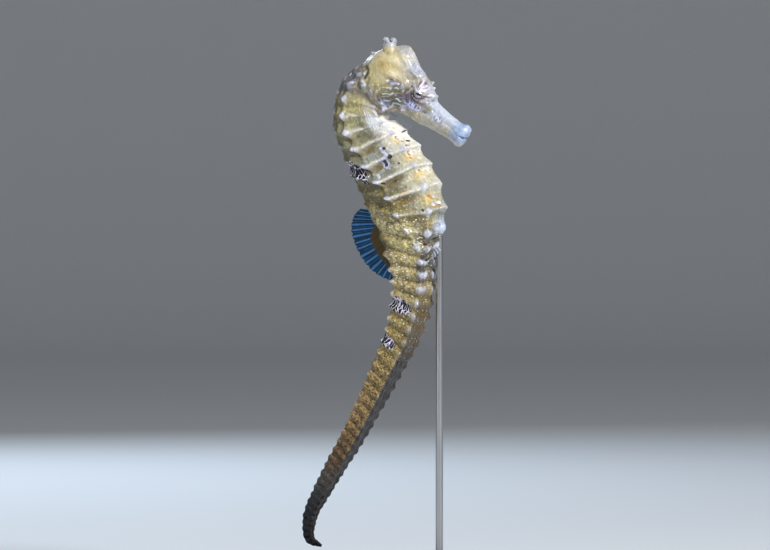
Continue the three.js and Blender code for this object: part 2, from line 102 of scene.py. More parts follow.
class Finish:
    """A material's node tree, with one short call for each kind of node it needs."""

    def __init__(self, name):
        self.material = bpy.data.materials.new(name)
        self.material.use_nodes = True
        self.tree = self.material.node_tree
        self.surface = self.tree.nodes["Principled BSDF"]

    def put(self, socket, value):
        if isinstance(value, bpy.types.NodeSocket):
            self.tree.links.new(value, socket)
        elif socket.type == "RGBA":
            socket.default_value = (*value, 1)
        else:
            socket.default_value = value

    def node(self, kind, inputs=None, **settings):
        node = self.tree.nodes.new(kind)
        for key, value in settings.items():
            setattr(node, key, value)
        for key, value in (inputs or {}).items():
            self.put(node.inputs[key], value)
        return node

    def set(self, **values):
        for key, value in values.items():
            self.put(self.surface.inputs[key.replace("_", " ")], value)

    def place(self):
        """Where a point is on the model, in millimetres."""
        coordinates = self.node("ShaderNodeTexCoord").outputs["Object"]
        return self.scaled(coordinates, 1 / MM)

    def vector(self, operation, a, b):
        node = self.node("ShaderNodeVectorMath", {0: a, 1: b}, operation=operation)
        return node.outputs["Value" if operation in ("DOT_PRODUCT", "LENGTH") else "Vector"]

    def scaled(self, vector, scale):
        inputs = {0: vector, "Scale": scale}
        return self.node("ShaderNodeVectorMath", inputs, operation="SCALE").outputs["Vector"]

    def stretched(self, vector, scales):
        return self.vector("MULTIPLY", vector, scales)

    def maths(self, operation, a, b=0.0):
        return self.node("ShaderNodeMath", {0: a, 1: b}, operation=operation).outputs[0]

    def product(self, *factors):
        result = factors[0]
        for factor in factors[1:]:
            result = self.maths("MULTIPLY", result, factor)
        return result

    def mask(self, value, low, high):
        """0 below low, 1 above high, and smooth between; the other way round if high is lower."""
        inputs = {"Value": value, "From Min": low, "From Max": high}
        node = self.node("ShaderNodeMapRange", inputs, interpolation_type="SMOOTHSTEP")
        return node.outputs[0]

    def spread(self, value, low, high):
        """A value of 0 to 1 spread over low to high."""
        inputs = {"Value": value, "To Min": low, "To Max": high}
        return self.node("ShaderNodeMapRange", inputs).outputs[0]

    def attribute(self, name, output="Fac"):
        return self.node("ShaderNodeAttribute", attribute_name=name).outputs[output]

    def noise(self, vector, scale, detail=3.0, output="Fac"):
        inputs = {"Vector": vector, "Scale": scale, "Detail": detail}
        return self.node("ShaderNodeTexNoise", inputs).outputs[output]

    def cells(self, vector, feature="F1", output="Distance", random=1.0):
        inputs = {"Vector": vector, "Scale": 1.0, "Randomness": random}
        return self.node("ShaderNodeTexVoronoi", inputs, feature=feature).outputs[output]

    def mix(self, a, b, share, blend="MIX"):
        inputs = {6: a, 7: b, 0: share}
        return self.node("ShaderNodeMix", inputs, data_type="RGBA", blend_type=blend).outputs[2]

    def over(self, colour, top, *shares):
        """One colour laid over another, by the product of the shares."""
        return self.mix(colour, top, self.product(*shares))

    def times(self, colour, factors):
        return self.mix(colour, factors, 1.0, "MULTIPLY")

    def bump(self, height, distance, normal=None):
        inputs = {"Height": height, "Distance": distance, "Strength": 1.0}
        if normal is not None:
            inputs["Normal"] = normal
        return self.node("ShaderNodeBump", inputs).outputs["Normal"]


def paper():
    finish = Finish("sweep_paper")
    grain = finish.noise(finish.place(), 0.5, 6.0)
    colour = finish.mix((0.74, 0.75, 0.77), (0.78, 0.79, 0.81), grain)
    finish.set(Base_Color=colour, Roughness=0.75, Normal=finish.bump(grain, 0.0001))
    return finish.material


deselect_all()
bpy.ops.mesh.primitive_circle_add(vertices=96, radius=SWEEP["radius"], fill_type="NGON")
sweep = bpy.context.object
sweep.name = "sweep"
bpy.ops.object.mode_set(mode="EDIT")
bpy.ops.mesh.select_mode(type="EDGE")
reach, height = SWEEP["radius"], 0.0
for step in range(1, SWEEP["bend_steps"] + 1):
    angle = step / SWEEP["bend_steps"] * math.pi / 2
    rise = SWEEP["bend"] * (1 - math.cos(angle))
    wider = SWEEP["radius"] + SWEEP["bend"] * math.sin(angle)
    bpy.ops.mesh.extrude_edges_move(TRANSFORM_OT_translate={"value": (0, 0, rise - height)})
    bpy.ops.transform.resize(value=(wider / reach, wider / reach, 1))
    height, reach = rise, wider
bpy.ops.mesh.extrude_edges_move(TRANSFORM_OT_translate={"value": (0, 0, SWEEP["wall"])})
bpy.ops.object.mode_set(mode="OBJECT")
bpy.ops.object.shade_smooth()
own_place(sweep)
sweep.data.materials.append(paper())
sweep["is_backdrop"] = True

back = Vector((
    math.sin(CAMERA_AZIMUTH) * math.cos(CAMERA_ELEVATION),
    -math.cos(CAMERA_AZIMUTH) * math.cos(CAMERA_ELEVATION),
    math.sin(CAMERA_ELEVATION),
))
right = Vector((math.cos(CAMERA_AZIMUTH), math.sin(CAMERA_AZIMUTH), 0))
up = back.cross(right)
aim = AIM + right * AIM_SHIFT[0] + up * AIM_SHIFT[1]
bpy.ops.object.camera_add(
    location=aim + back * CAMERA_DISTANCE, rotation=back.to_track_quat("Z", "Y").to_euler())
camera = bpy.context.object
camera.data.sensor_width = SENSOR
camera.data.lens = SENSOR * CAMERA_DISTANCE / VIEW_WIDTH
camera.data.clip_start = 0.01
bpy.context.scene.camera = camera

for name, place, size, watts, colour in LAMPS:
    bpy.ops.object.light_add(type="AREA", location=place)
    lamp = bpy.context.object
    lamp.name = name
    lamp.data.size = size
    lamp.data.energy = watts
    lamp.data.color = colour
    toward = LAMP_TARGET - Vector(place)
    lamp.rotation_euler = toward.to_track_quat("-Z", "Y").to_euler()

bpy.context.scene.view_settings.view_transform = "Standard"
world = bpy.context.scene.world or bpy.data.worlds.new("studio")
bpy.context.scene.world = world
world.use_nodes = True
world.node_tree.nodes["Background"].inputs[0].default_value = ROOM_LIGHT["colour"]
world.node_tree.nodes["Background"].inputs[1].default_value = ROOM_LIGHT["strength"]

# ---------------------------------------------------------------- the skin: neck, trunk and tail
# The animal's body is a tube of bony rings under thin skin, square at the tail and seven-sided at
# the trunk, with a knob where a long ridge crosses each ring. It is cast in one with the head.
# Millimetres here, made metres when the mesh is made.

SPINE = np.array([  # middle of the body, from inside the head to the tip of the tail: x, z
    (-3.4, 142.0), (-7.0, 139.3), (-9.3, 136.3), (-10.5, 132.0), (-9.8, 127.4), (-7.3, 123.6),
    (-4.1, 119.1), (-1.4, 114.7), (1.5, 109.2), (3.7, 101.0), (4.1, 92.0), (4.7, 83.0),
    (2.2, 71.6), (-4.3, 58.6), (-12.5, 43.6), (-21.8, 28.5), (-26.3, 19.7), (-26.3, 13.8),
    (-22.9, 12.0),
])
NAPE_RINGS, TRUNK_RINGS, TAIL_RINGS = 2, 11, 34
NAPE_RING = 3.3
TRUNK_RING = [3.1, 3.3, 3.5, 4.0, 4.9, 5.3, 5.5, 5.5, 5.2, 4.9, 4.6]
TAIL_RING = {"first": 4.0, "shrink": 0.66, "power": 1.1}
LEAN = [(0, 0), (2, 0.14), (4, 0.38), (6.5, 0.38), (8.5, 0.28), (11, 0.15), (36, 0.15), (45, 0)]
TWIST = math.radians(6)
DEPTH = [
    (-2, 8.6), (-0.5, 11.2), (0.5, 13.2), (2.5, 14.8), (4.5, 17.6), (5.5, 19.6), (6.5, 21),
    (7.5, 21.8), (8.5, 21.8), (9.5, 19.6), (10.5, 15.2), (11.5, 11), (12.5, 8.9),
]
WIDTH = [
    (-2, 8), (0.5, 9.6), (2.5, 10.8), (4.5, 12), (6.5, 13.2), (8.5, 13.4),
    (9.5, 12.6), (10.5, 11), (11.5, 9.6), (12.5, 8.9),
]
TAIL = {"side": 9.1, "decay": 1.1, "power": 9, "from": 12.5}
# Long ridges of one side, from the belly's keel to the middle of the back: at a ring, the share
# of the depth forward, the share of the width sideways, the knob and the slip towards the tail.
RIDGES = [
    [(9, 0.5, 0, 1, 0), (12, 0.5, 0, 0, 0)],
    [(7, 0.36, 0.31, 0.7, 0.2), (8.5, 0.335, 0.32, 0.7, 1.7), (9.5, 0.325, 0.315, 0.7, 2.3),
     (10.5, 0.41, 0.29, 0.7, 1.4), (12, 0.5, 0.26, 0.7, 1.3), (14.5, 0.5, 0.26, 0, 0.2)],
    [(-1.4, -0.22, 0.5, 0, 0.3), (-0.4, -0.22, 0.5, 0.5, 0.3), (0.6, -0.22, 0.5, 0.8, 0.3),
     (4.5, -0.20, 0.5, 0.8, 2.8), (5.5, -0.175, 0.5, 0.8, 3.7), (7, -0.10, 0.5, 0.8, 3.6),
     (8.5, -0.02, 0.5, 0.8, 2.9), (9.5, 0.08, 0.5, 0.8, 1.7), (10.5, 0.27, 0.49, 0.8, 1.4),
     (12, 0.47, 0.47, 0.8, 1.2), (14.5, 0.47, 0.47, 0.8, 0.3), (16, 0.47, 0.47, 0.8, 0)],
    [(9.5, -0.34, 0.45, 0, 1), (11, -0.46, 0.46, 0.8, 0), (12, -0.47, 0.47, 0.8, 0)],
    [(8.5, -0.45, 0.33, 0.7, 0), (9.8, -0.45, 0.3, 0, 0), (12, -0.47, 0.24, 0, 0)],
    [(9, -0.45, 0, 0, 0), (12, -0.47, 0, 0, 0)],
]
KNOB_SHAPES = [  # of each long ridge: how much wider, how long in millimetres, how high
    (2.0, 1.35, 0.62), (1.2, 1.0, 1), (1.1, 0.9, 1.1), (0.95, 0.7, 1.4), (1, 1.1, 0.5), (1, 0.8, 1),
]
KNOB = {"width": 0.72, "wider_on_tail": 0.35, "height": 0.9, "lower_on_tail": 0.3}
CREST = {"height": 0.25, "below_neck": 0.17, "on_trunk": 0.65, "less_on_tail": 0.12}
CORNER_EDGE = {"height": 0.22, "width": 0.55}  # the raised line of each long ridge
PLATE_DIP = 0.3  # how far a plate sinks between its ridges
GROOVE = {"depth": 0.45, "from_crest": 1.15, "width": 0.5}  # under each crest of the trunk
DENT = {"depth": 0.38, "from_crest": 1.8, "length": 0.95, "behind": 0.035, "half": 0.0425}
COLUMNS = [8, 18, 16, 4, 8]  # across the skin between one ridge and the next
ROWS = {"trunk": 16, "tail": 10}  # along each ring


def through(keys, place):
    """A smooth line through (place, value) keys, read at each place."""
    at, value = np.array(keys, float).T
    first = np.maximum(np.arange(len(at)) - 1, 0)
    last = np.minimum(np.arange(len(at)) + 1, len(at) - 1)
    slope = (value[last] - value[first]) / (at[last] - at[first])
    place = np.clip(place, at[0], at[-1])
    i = np.clip(np.searchsorted(at, place, side="right") - 1, 0, len(at) - 2)
    span = at[i + 1] - at[i]
    t = (place - at[i]) / span
    fall = 2 * t**3 - 3 * t**2 + 1
    bend = slope[i] * (t**3 - 2 * t**2 + t) + slope[i + 1] * (t**3 - t**2)
    return value[i] * fall + value[i + 1] * (1 - fall) + span * bend


def step_up(value, low, high):
    """0 below low, 1 above high, and smooth between."""
    t = np.clip((value - low) / (high - low), 0, 1)
    return t * t * (3 - 2 * t)


def hump(distance, width):
    return np.exp(-((distance / width) ** 2))


def spine_line(steps=80):
    """Points close together on the centripetal curve through the spine's points."""
    ends = [2 * SPINE[0] - SPINE[1], *SPINE, 2 * SPINE[-1] - SPINE[-2]]
    t = np.linspace(0, 1, steps, endpoint=False)[:, None]
    lengths = []
    for a, b, c, d in zip(ends, ends[1:], ends[2:], ends[3:]):
        ab, bc, cd = (math.sqrt(np.linalg.norm(q - p)) for p, q in ((a, b), (b, c), (c, d)))
        leave = ((b - a) / ab - (c - a) / (ab + bc) + (c - b) / bc) * bc
        arrive = ((c - b) / bc - (d - b) / (bc + cd) + (d - c) / cd) * bc
        fall = 2 * t**3 - 3 * t**2 + 1
        bend = leave * (t**3 - 2 * t**2 + t) + arrive * (t**3 - t**2)
        lengths.append(b * fall + c * (1 - fall) + bend)
    return np.vstack([*lengths, SPINE[-1:]])


spine = spine_line()
spine_reach = np.concatenate([[0], np.cumsum(np.linalg.norm(np.diff(spine, axis=0), axis=1))])
tail_share = np.arange(TAIL_RINGS) / (TAIL_RINGS - 1)
ring_length = np.array(
    [NAPE_RING] * NAPE_RINGS + TRUNK_RING
    + list(TAIL_RING["first"] * (1 - TAIL_RING["shrink"] * tail_share ** TAIL_RING["power"]))
)
ring_length *= spine_reach[-1] / ring_length.sum()
ring_start = np.concatenate([[0], np.cumsum(ring_length)])
LAST_RING = TRUNK_RINGS + TAIL_RINGS


def reach_of(ring):
    """Millimetres along the spine at a place counted in rings."""
    return np.interp(ring + NAPE_RINGS, np.arange(len(ring_start)), ring_start)


def size_of(keys, ring):
    start = reach_of(TAIL["from"])
    t = np.clip((reach_of(ring) - start) / (spine_reach[-1] - start), 0, 0.995)
    taper = TAIL["side"] * np.exp(-TAIL["decay"] * t) * np.sqrt(1 - t ** TAIL["power"])
    on_tail = step_up(ring, TAIL["from"] - 0.5, TAIL["from"])
    return through(keys, ring) * (1 - on_tail) + taper * on_tail


def body_frame(ring):
    """The spine's middle at each ring, and the ways to the belly, to the left and down."""
    zero = np.zeros_like(ring)
    slope = np.gradient(spine, spine_reach, axis=0)
    x, z, down_x, down_z = (
        np.interp(reach_of(ring), spine_reach, values) for values in (*spine.T, *slope.T))
    middle = np.stack([x, zero, z], axis=-1)
    down = np.stack([down_x, zero, down_z], axis=-1)
    down /= np.linalg.norm(down, axis=-1, keepdims=True)
    left = np.stack([zero, zero + 1, zero], axis=-1)
    belly = np.cross(down, left)
    twist = (TWIST * step_up(ring, TRUNK_RINGS - 1, TRUNK_RINGS + 6))[:, None]
    turned = left * np.cos(twist) + belly * np.sin(twist)
    belly = belly * np.cos(twist) - left * np.sin(twist)
    return middle, belly, turned, down


def moved_out(points, distance):
    """Points of a cross-section moved further from its middle."""
    radius = np.linalg.norm(points[..., :2], axis=-1)
    scale = np.maximum(0.2, radius + distance) / radius
    out = points.copy()
    out[..., :2] *= scale[..., None]
    return out


def softened(points, passes):
    """Each point of a closed outline drawn towards the middle of its neighbours."""
    for _ in range(passes):
        points = (np.roll(points, 1, 1) + 2 * points + np.roll(points, -1, 1)) / 4
    return points


rows = [np.linspace(n, n + 1, ROWS["trunk"], endpoint=False) for n in range(-NAPE_RINGS, TRUNK_RINGS)]
rows += [np.linspace(n, n + 1, ROWS["tail"], endpoint=False) for n in range(TRUNK_RINGS, LAST_RING)]
ring = np.concatenate([*rows, [LAST_RING]])
whole = np.clip(np.floor(ring), -NAPE_RINGS, LAST_RING - 1)
share = ring - whole  # of the way along its ring
rise = np.abs(np.sin(np.pi * share))
long = ring_length[(whole + NAPE_RINGS).astype(int)]
from_crest = (share - 0.5) * long  # millimetres past the ring's middle
depth, width = size_of(DEPTH, ring), size_of(WIDTH, ring)
small = np.minimum(1, width / TAIL["side"])


def column(keys, n, place):
    """A smooth line through the n-th values of some keys, whose first values are their places."""
    return through([(key[0], key[n]) for key in keys], place)


corners = np.stack([
    np.stack([
        column(ridge, 1, ring) * depth, column(ridge, 2, ring) * width, column(ridge, 4, ring),
    ], axis=-1)
    for ridge in RIDGES
], axis=1)
knobs = np.stack([column(ridge, 3, ring) for ridge in RIDGES], axis=1)

# Places across the skin, counted in ridges: the right half from keel to back, then the left.
half = np.concatenate([np.linspace(n, n + 1, count, endpoint=False) for n, count in enumerate(COLUMNS)])
half = np.append(half, len(COLUMNS))
across = np.concatenate([half, half[-2:0:-1]])
side = np.concatenate([np.ones(len(half)), -np.ones(len(half) - 2)])
ridge_before = np.minimum(across.astype(int), len(COLUMNS) - 1)
past_ridge = (across - ridge_before)[None, :, None]
flat = corners[:, ridge_before] * (1 - past_ridge) + corners[:, ridge_before + 1] * past_ridge
flat[..., 1] *= side
flat = softened(flat, 3)

mirrored = flat[..., :2] * np.stack([np.ones_like(side), side], axis=-1)
ridge_gap = np.stack([
    np.linalg.norm(mirrored - corners[:, n, None, :2], axis=-1) for n in range(len(RIDGES))
], axis=-1)  # millimetres from each ridge, across the body
nearest = ridge_gap.min(axis=-1)

on_trunk = 1 - step_up(ring, 7.5, 10.5)
toward_head = np.clip(1 + 1.6 * from_crest / long, 0, 1) ** 2.4
toward_tail = hump(from_crest, 0.6)
saw = np.where(from_crest < 0, toward_head, toward_tail)
band = rise**1.5
crest = saw * on_trunk + band * (1 - on_trunk)
crest_height = CREST["height"] + CREST["below_neck"] * step_up(ring, 2, 5)
crest_height += CREST["on_trunk"] * on_trunk * step_up(ring, 1.6, 4.6)
crest_height -= CREST["less_on_tail"] * step_up(ring, 13, 18)
bow = (4 * past_ridge * (1 - past_ridge))[..., 0]
belly_share = flat[..., 0] / depth[:, None]
calmer = 0.45 * step_up(belly_share, 0.25, 0.4) + 0.5 * step_up(-belly_share, 0.28, 0.42)
crest_lift = (crest_height * crest)[:, None] * (1 - calmer * on_trunk[:, None])
flat_belly = 1 - 0.85 * step_up(ring, 12, 15)[:, None] * (ridge_before < 2)
lift = crest_lift - PLATE_DIP * bow * flat_belly * (1 - crest[:, None])
edge_gap = np.where(ring[:, None] < TRUNK_RINGS, nearest, ridge_gap[..., 2:4].min(axis=-1))
lift += CORNER_EDGE["height"] * hump(edge_gap, CORNER_EDGE["width"])
plate_share = step_up(across, 1.15, 1.5) * (1 - step_up(across, 1.85, 2.0))
groove_share = hump(from_crest - GROOVE["from_crest"], GROOVE["width"]) * on_trunk * step_up(ring, 2, 4.5)
lift -= GROOVE["depth"] * groove_share[:, None] * plate_share

rng = np.random.default_rng(7)
uneven = rng.uniform(0.8, 1.15, (len(ring_length), len(RIDGES)))[(whole + NAPE_RINGS).astype(int)]
knob_width = KNOB["width"] + KNOB["wider_on_tail"] * step_up(ring, 10, 12)
knob_height = KNOB["height"] - KNOB["lower_on_tail"] * step_up(ring, 14, 20)
knob_mask = np.zeros_like(nearest)
for n, (wider, longer, higher) in enumerate(KNOB_SHAPES):
    spot = hump(ridge_gap[..., n], wider * knob_width[:, None]) * hump(from_crest, longer)[:, None]
    spot *= (knobs[:, n] > 0.02)[:, None]
    lift += (higher * knob_height * knobs[:, n] * uneven[:, n])[:, None] * spot
    knob_mask = np.maximum(knob_mask, spot * np.minimum(1, 2 * knobs[:, n])[:, None])
in_dent = hump(from_crest - DENT["from_crest"], DENT["length"]) * on_trunk * step_up(ring, 1, 3)
behind_ridge = belly_share - column(RIDGES[2], 1, ring)[:, None] + DENT["behind"]
lift -= DENT["depth"] * in_dent[:, None] * hump(behind_ridge, DENT["half"])
skin_section = moved_out(flat, lift * small[:, None])

middle, belly, left, down = body_frame(ring)
lean = through(LEAN, ring)
body_points = (
    middle[:, None]
    + belly[:, None] * skin_section[..., 0:1]
    + left[:, None] * skin_section[..., 1:2]
    + down[:, None] * (skin_section[..., 2:3] + lean[:, None, None] * skin_section[..., 0:1])
)

cast = []  # the places of each tube's points and the marks kept with them, for the paint


def face_outward(piece):
    """Turns the faces of a closed piece outwards and shades it smooth."""
    only(piece)
    bpy.ops.object.mode_set(mode="EDIT")
    bpy.ops.mesh.select_all(action="SELECT")
    bpy.ops.mesh.normals_make_consistent(inside=False)
    bpy.ops.object.mode_set(mode="OBJECT")
    bpy.ops.object.shade_smooth()


def tube(name, points, **marks):
    """A closed tube through rows of points, in millimetres, with a value at each point per mark."""
    rows, columns = points.shape[:2]
    count = rows * columns
    spread_out = {mark: np.broadcast_to(value, (rows, columns)) for mark, value in marks.items()}
    cast.append((points.reshape(-1, 3), {mark: v.reshape(-1) for mark, v in spread_out.items()}))
    ends = np.stack([points[0].mean(axis=0), points[-1].mean(axis=0)])
    vertices = np.concatenate([points.reshape(-1, 3), ends]) * MM
    here = np.arange(count).reshape(rows, columns)
    after = np.roll(here, -1, axis=1)
    quads = np.stack([here[:-1], here[1:], after[1:], after[:-1]], axis=-1).reshape(-1, 4)
    first = np.stack([here[0], after[0], np.full(columns, count)], axis=-1)
    last = np.stack([after[-1], here[-1], np.full(columns, count + 1)], axis=-1)
    mesh = bpy.data.meshes.new(name)
    mesh.from_pydata(vertices.tolist(), [], quads.tolist() + first.tolist() + last.tolist())
    piece = bpy.data.objects.new(name, mesh)
    bpy.context.collection.objects.link(piece)
    face_outward(piece)
    return piece


round_steps = np.linalg.norm(np.diff(flat[:, : len(half), :2], axis=1), axis=-1)
round_half = np.concatenate([np.zeros((len(ring), 1)), np.cumsum(round_steps, axis=1)], axis=1)
round_way = np.concatenate([round_half, round_half[:, -2:0:-1]], axis=1)

body = tube(
    "body", body_points,
    ring=ring[:, None], fore=belly_share, knob=knob_mask, round=round_way,
    reach=reach_of(ring)[:, None], head=0.0,
)

# ---------------------------------------------------------------- the skin: head and snout
# A bony box with thin skin over it: a crest that rises to the crown, a round gill cover on each
# cheek, a raised orbit with folded lids round each eye, and a tube of a snout that ends in a small
# mouth with soft lips. Places on it are along the snout, to the left and up, from between the eyes.

HEAD = Vector((7.7, 0, 135.05))
PITCH = math.radians(31)
HEAD_SECTIONS = [  # along, top, widest level, bottom, half width, pinch of the top to a crest
    (-18.4, 0.4, -2.2, -5.2, 2.1, 1.2), (-17.5, 2.3, -2.8, -6.8, 3.3, 1.3),
    (-16.0, 4.5, -3.4, -8.4, 4.9, 1.5), (-13.5, 6.5, -3.9, -9.8, 5.2, 1.9),
    (-11.2, 8.1, -4.2, -10.6, 5.2, 2.0), (-9.4, 8.7, -4.3, -10.8, 5.0, 2.0),
    (-7.6, 7.9, -4.3, -10.3, 4.7, 1.8), (-5.0, 6.2, -4.2, -9.1, 4.2, 1.4),
    (-2.5, 4.9, -3.9, -8.1, 3.7, 1.1), (0.0, 3.7, -3.6, -7.8, 3.3, 1.0),
    (2.8, 2.0, -3.6, -7.9, 2.8, 1.0), (5.2, 0.1, -3.9, -7.5, 2.5, 1.0),
    (9.5, -0.8, -4.0, -7.1, 2.2, 1.0), (13.5, -1.2, -4.0, -6.9, 2.3, 1.0),
    (15.0, -1.15, -4.0, -7.0, 2.4, 1.0), (16.0, -0.7, -4.0, -7.2, 2.5, 1.0),
    (16.8, -1.0, -4.0, -7.0, 2.15, 1.0),
]
HEAD_SET = np.array([-0.33, 0, 0.56])  # of these sections, in the eyes' own frame
EYE = {"radius": 1.75, "out": 2.35}
ORBIT = {"radius": 2.9, "out": 1.05}
# How far the lids open, how narrow over and under the eye, the rolls round them, the second fold
# under the eye and the hollow between, and how deep the socket is cut.
LID = {"rim": 1.6, "upper": 2.5, "lower": 1.3, "roll": 0.20, "lower_roll": 0.22, "roll_width": 0.24,
       "fold": 0.20, "fold_at": 2.7, "hollow_at": 2.15, "socket": 1.9}
MOUTH = {"length": 0.8, "height": 0.26, "level": -3.7}
HEAD_COLUMNS = 176


def head_stations():
    """Places along the head, closest together round the eyes and at the lips."""
    keys = [(-18.4, 0.34), (-6, 0.28), (-3.5, 0.15), (3.5, 0.15), (6, 0.28), (14.4, 0.26), (16.8, 0.13)]
    places = [keys[0][0]]
    while places[-1] < keys[-1][0]:
        places.append(places[-1] + through(keys, places[-1]).item())
    places[-1] = keys[-1][0]
    return np.array(places)


def ball_over(points, centre, radius, blend=0.5):
    """Lifts the side of the head on to a ball, with a soft join round it."""
    reach = np.hypot(points[..., 0] - centre[0], points[..., 2] - centre[2])
    ball = centre[1] + np.sqrt(np.maximum(radius**2 - reach**2, 0))
    height = np.abs(points[..., 1])
    mixed = np.logaddexp(height / blend * 2, ball / blend * 2) * blend / 2
    share = 1 - step_up(reach, radius * 0.96, radius * 1.12)
    return np.sign(points[..., 1]) * (height + (mixed - height) * share)


def near(points, place, width):
    """1 at a place and its mirror image, falling away round them."""
    gap = np.stack([points[..., 0], np.abs(points[..., 1]), points[..., 2]], axis=-1) - place
    return np.exp(-((gap / np.array(width)) ** 2).sum(axis=-1))


def surface_out(points):
    """The way out of the surface at each point of a grid that closes on itself sideways."""
    along = np.gradient(points, axis=0)
    around = np.roll(points, -1, axis=1) - np.roll(points, 1, axis=1)
    out = np.cross(around, along)
    out /= np.maximum(np.linalg.norm(out, axis=-1, keepdims=True), 1e-9)
    middle = points.mean(axis=1, keepdims=True)
    facing = ((points - middle) * out).sum(axis=-1, keepdims=True)
    return out * np.sign(facing.mean())


along = head_stations()
top, widest, bottom, half_width, pinch = (column(HEAD_SECTIONS, n, along)[:, None] for n in range(1, 6))
turn = np.linspace(0, 2 * np.pi, HEAD_COLUMNS, endpoint=False)[None]
cos, sin = np.cos(turn), np.sin(turn)
power = np.where(cos > 0, 1 + (pinch - 1) * cos, 1)
level = widest + np.where(cos > 0, (top - widest) * cos, (widest - bottom) * cos)
out_side = np.sign(sin) * half_width * np.abs(sin) ** power
head_points = np.stack([along[:, None] + 0 * turn, out_side, level], axis=-1)

# The lips turn in over the end of the snout, and the last rows close it.
lip_steps = np.linspace(0.12, 1, 9) * np.pi / 2
rim = head_points[-1]
rim_middle = rim.mean(axis=0)
lips = [
    rim_middle + (rim - rim_middle) * math.cos(t) ** 0.7 + np.array([0.55 * math.sin(t), 0, 0])
    for t in lip_steps[:-1]
]
back_steps = np.linspace(0.95, 0.12, 8)
nape = head_points[0]
nape_middle = nape.mean(axis=0)
closing = [
    nape_middle + (nape - nape_middle) * math.sqrt(1 - t * t) - np.array([0.5 * t, 0, 0])
    for t in back_steps
]
head_points = np.concatenate([np.stack(closing), head_points, np.stack(lips)]) + HEAD_SET

SPINES = [  # place, width, height
    ((0.3, 1.5, 3.9), 0.6, 1.2),  # over the eye
    ((2.6, 2.6, 2.5), 0.45, 0.45),  # before the eye
    ((3.9, 2.3, 1.3), 0.4, 0.35),
    ((-6.6, 3.4, -8.2), 1.0, 1.9),  # cheek
    ((-8.0, 4.6, -7.4), 0.5, 0.5),
    ((-6.4, 4.3, -7.2), 0.45, 0.45),
    ((-9.6, 5.0, -7.0), 0.5, 0.35),
    ((-15.6, 4.6, -5.0), 0.6, 0.5),  # behind the cheek
    ((-14.6, 4.7, -5.9), 0.5, 0.4),
    ((-2.2, 3.5, -6.4), 0.7, 0.7),  # under the eye
    ((-18.5, 0.9, 2.1), 0.6, 0.95),  # nape
    ((-16.1, 4.6, -2.9), 0.42, 0.5),  # in the gill opening
    ((1.9, 1.0, 3.3), 0.45, 0.6),  # before the eyes
    ((3.9, 0.9, 1.9), 0.45, 0.5),
    ((-3.0, 1.6, 5.1), 0.5, 0.35),  # forehead
    ((-5.6, 1.2, 6.6), 0.5, 0.35),
]
FOLDS = [  # place, width, height: bulges and hollows of the head
    ((-8.8, 3.2, 2.4), (3.2, 2.5, 1.7), -0.75),  # hollow under the crest
    ((-3.6, 3.2, 2.3), (1.7, 1.5, 1.2), -0.6),  # behind the brow
    ((-13.5, 3.6, 1.2), (1.6, 2.5, 1.8), 0.35),  # swelling of the nape
    ((-6.2, 2.2, 5.4), (2.2, 2.0, 0.9), -0.3),  # side of the forehead
    ((0.4, 3.4, 1.9), (1.9, 1.4, 0.9), 0.5),  # fleshy hood over the eye
    ((4.3, 1.9, 0.4), (0.85, 1.0, 0.75), -0.5),  # hollow of the nostril
    ((4.4, 1.5, 1.25), (1.1, 0.8, 0.35), 0.22),  # its rim
    ((3.9, 2.7, -3.3), (0.55, 1.2, 0.4), -0.35),
    ((4.6, 2.6, -2.3), (1.6, 1.0, 0.6), 0.18),
    ((2.0, 2.9, -5.9), (2.4, 1.5, 1.3), 0.15),  # hinge of the jaw
    ((-16.6, 4.4, -2.6), (0.5, 1.5, 1.5), -0.3),  # gill opening
    ((-17.3, 4.2, -3.2), (0.5, 1.5, 1.7), 0.3),
    ((16.0, 2.2, -4.0), (1.2, 2.0, 2.6), 0.12),  # lips
    ((16.3, 0.6, -1.4), (0.7, 1.6, 0.7), 0.25),
    ((15.2, 0.8, -7.0), (1.1, 1.8, 0.7), 0.3),
]
RIDGE_LINES = [  # points along and up, half width, height: bony ridges, and grooves below zero
    ([(-12.5, 7.4), (-9.6, 6.2), (-6.4, 4.6), (-3.0, 3.6)], 0.55, 0.42),
    ([(-16.5, 1.2), (-13.2, 2.6), (-10.5, 4.6)], 0.6, 0.3),
    ([(-10.6, 0.3), (-7.4, 0.9), (-4.2, 0.5), (-2.6, 0.2)], 0.5, 0.3),
    ([(-14.2, -3.6), (-14.0, -5.4), (-12.6, -7.9), (-10.4, -9.6)], 0.5, -0.4),
    ([(-17.4, -1.4), (-16.25, -1.15), (-15.5, -1.5), (-15.2, -2.1), (-15.2, -3.9)], 0.38, -0.6),
    ([(-15.4, -1.2), (-15.6, -4.8), (-13.9, -8.2)], 0.5, 0.35),
    ([(-3.6, -7.9), (0.2, -6.6), (4.0, -6.3), (8.0, -6.0)], 0.45, 0.22),
    ([(-4.0, -9.0), (0.6, -7.2)], 0.4, -0.2),
    ([(4.6, 0.9), (8.0, -1.3), (13.0, -1.9), (16.0, -1.7)], 0.4, 0.18),
    ([(5.0, -1.4), (8.5, -2.6), (13.5, -3.2)], 0.45, -0.16),
]
GILL_COVER = {"middle": (-7.0, -4.3), "radius": 4.5, "rise": 0.32, "rim": 0.14, "ribs": 11, "rib": 0.10}


def line_gap(along, up, line):
    """How far each place is from a line of straight stretches, seen from the side."""
    gaps = []
    for (a0, u0), (a1, u1) in zip(line, line[1:]):
        way = np.array([a1 - a0, u1 - u0])
        t = np.clip(((along - a0) * way[0] + (up - u0) * way[1]) / (way @ way), 0, 1)
        gaps.append(np.hypot(along - a0 - t * way[0], up - u0 - t * way[1]))
    return np.min(gaps, axis=0)


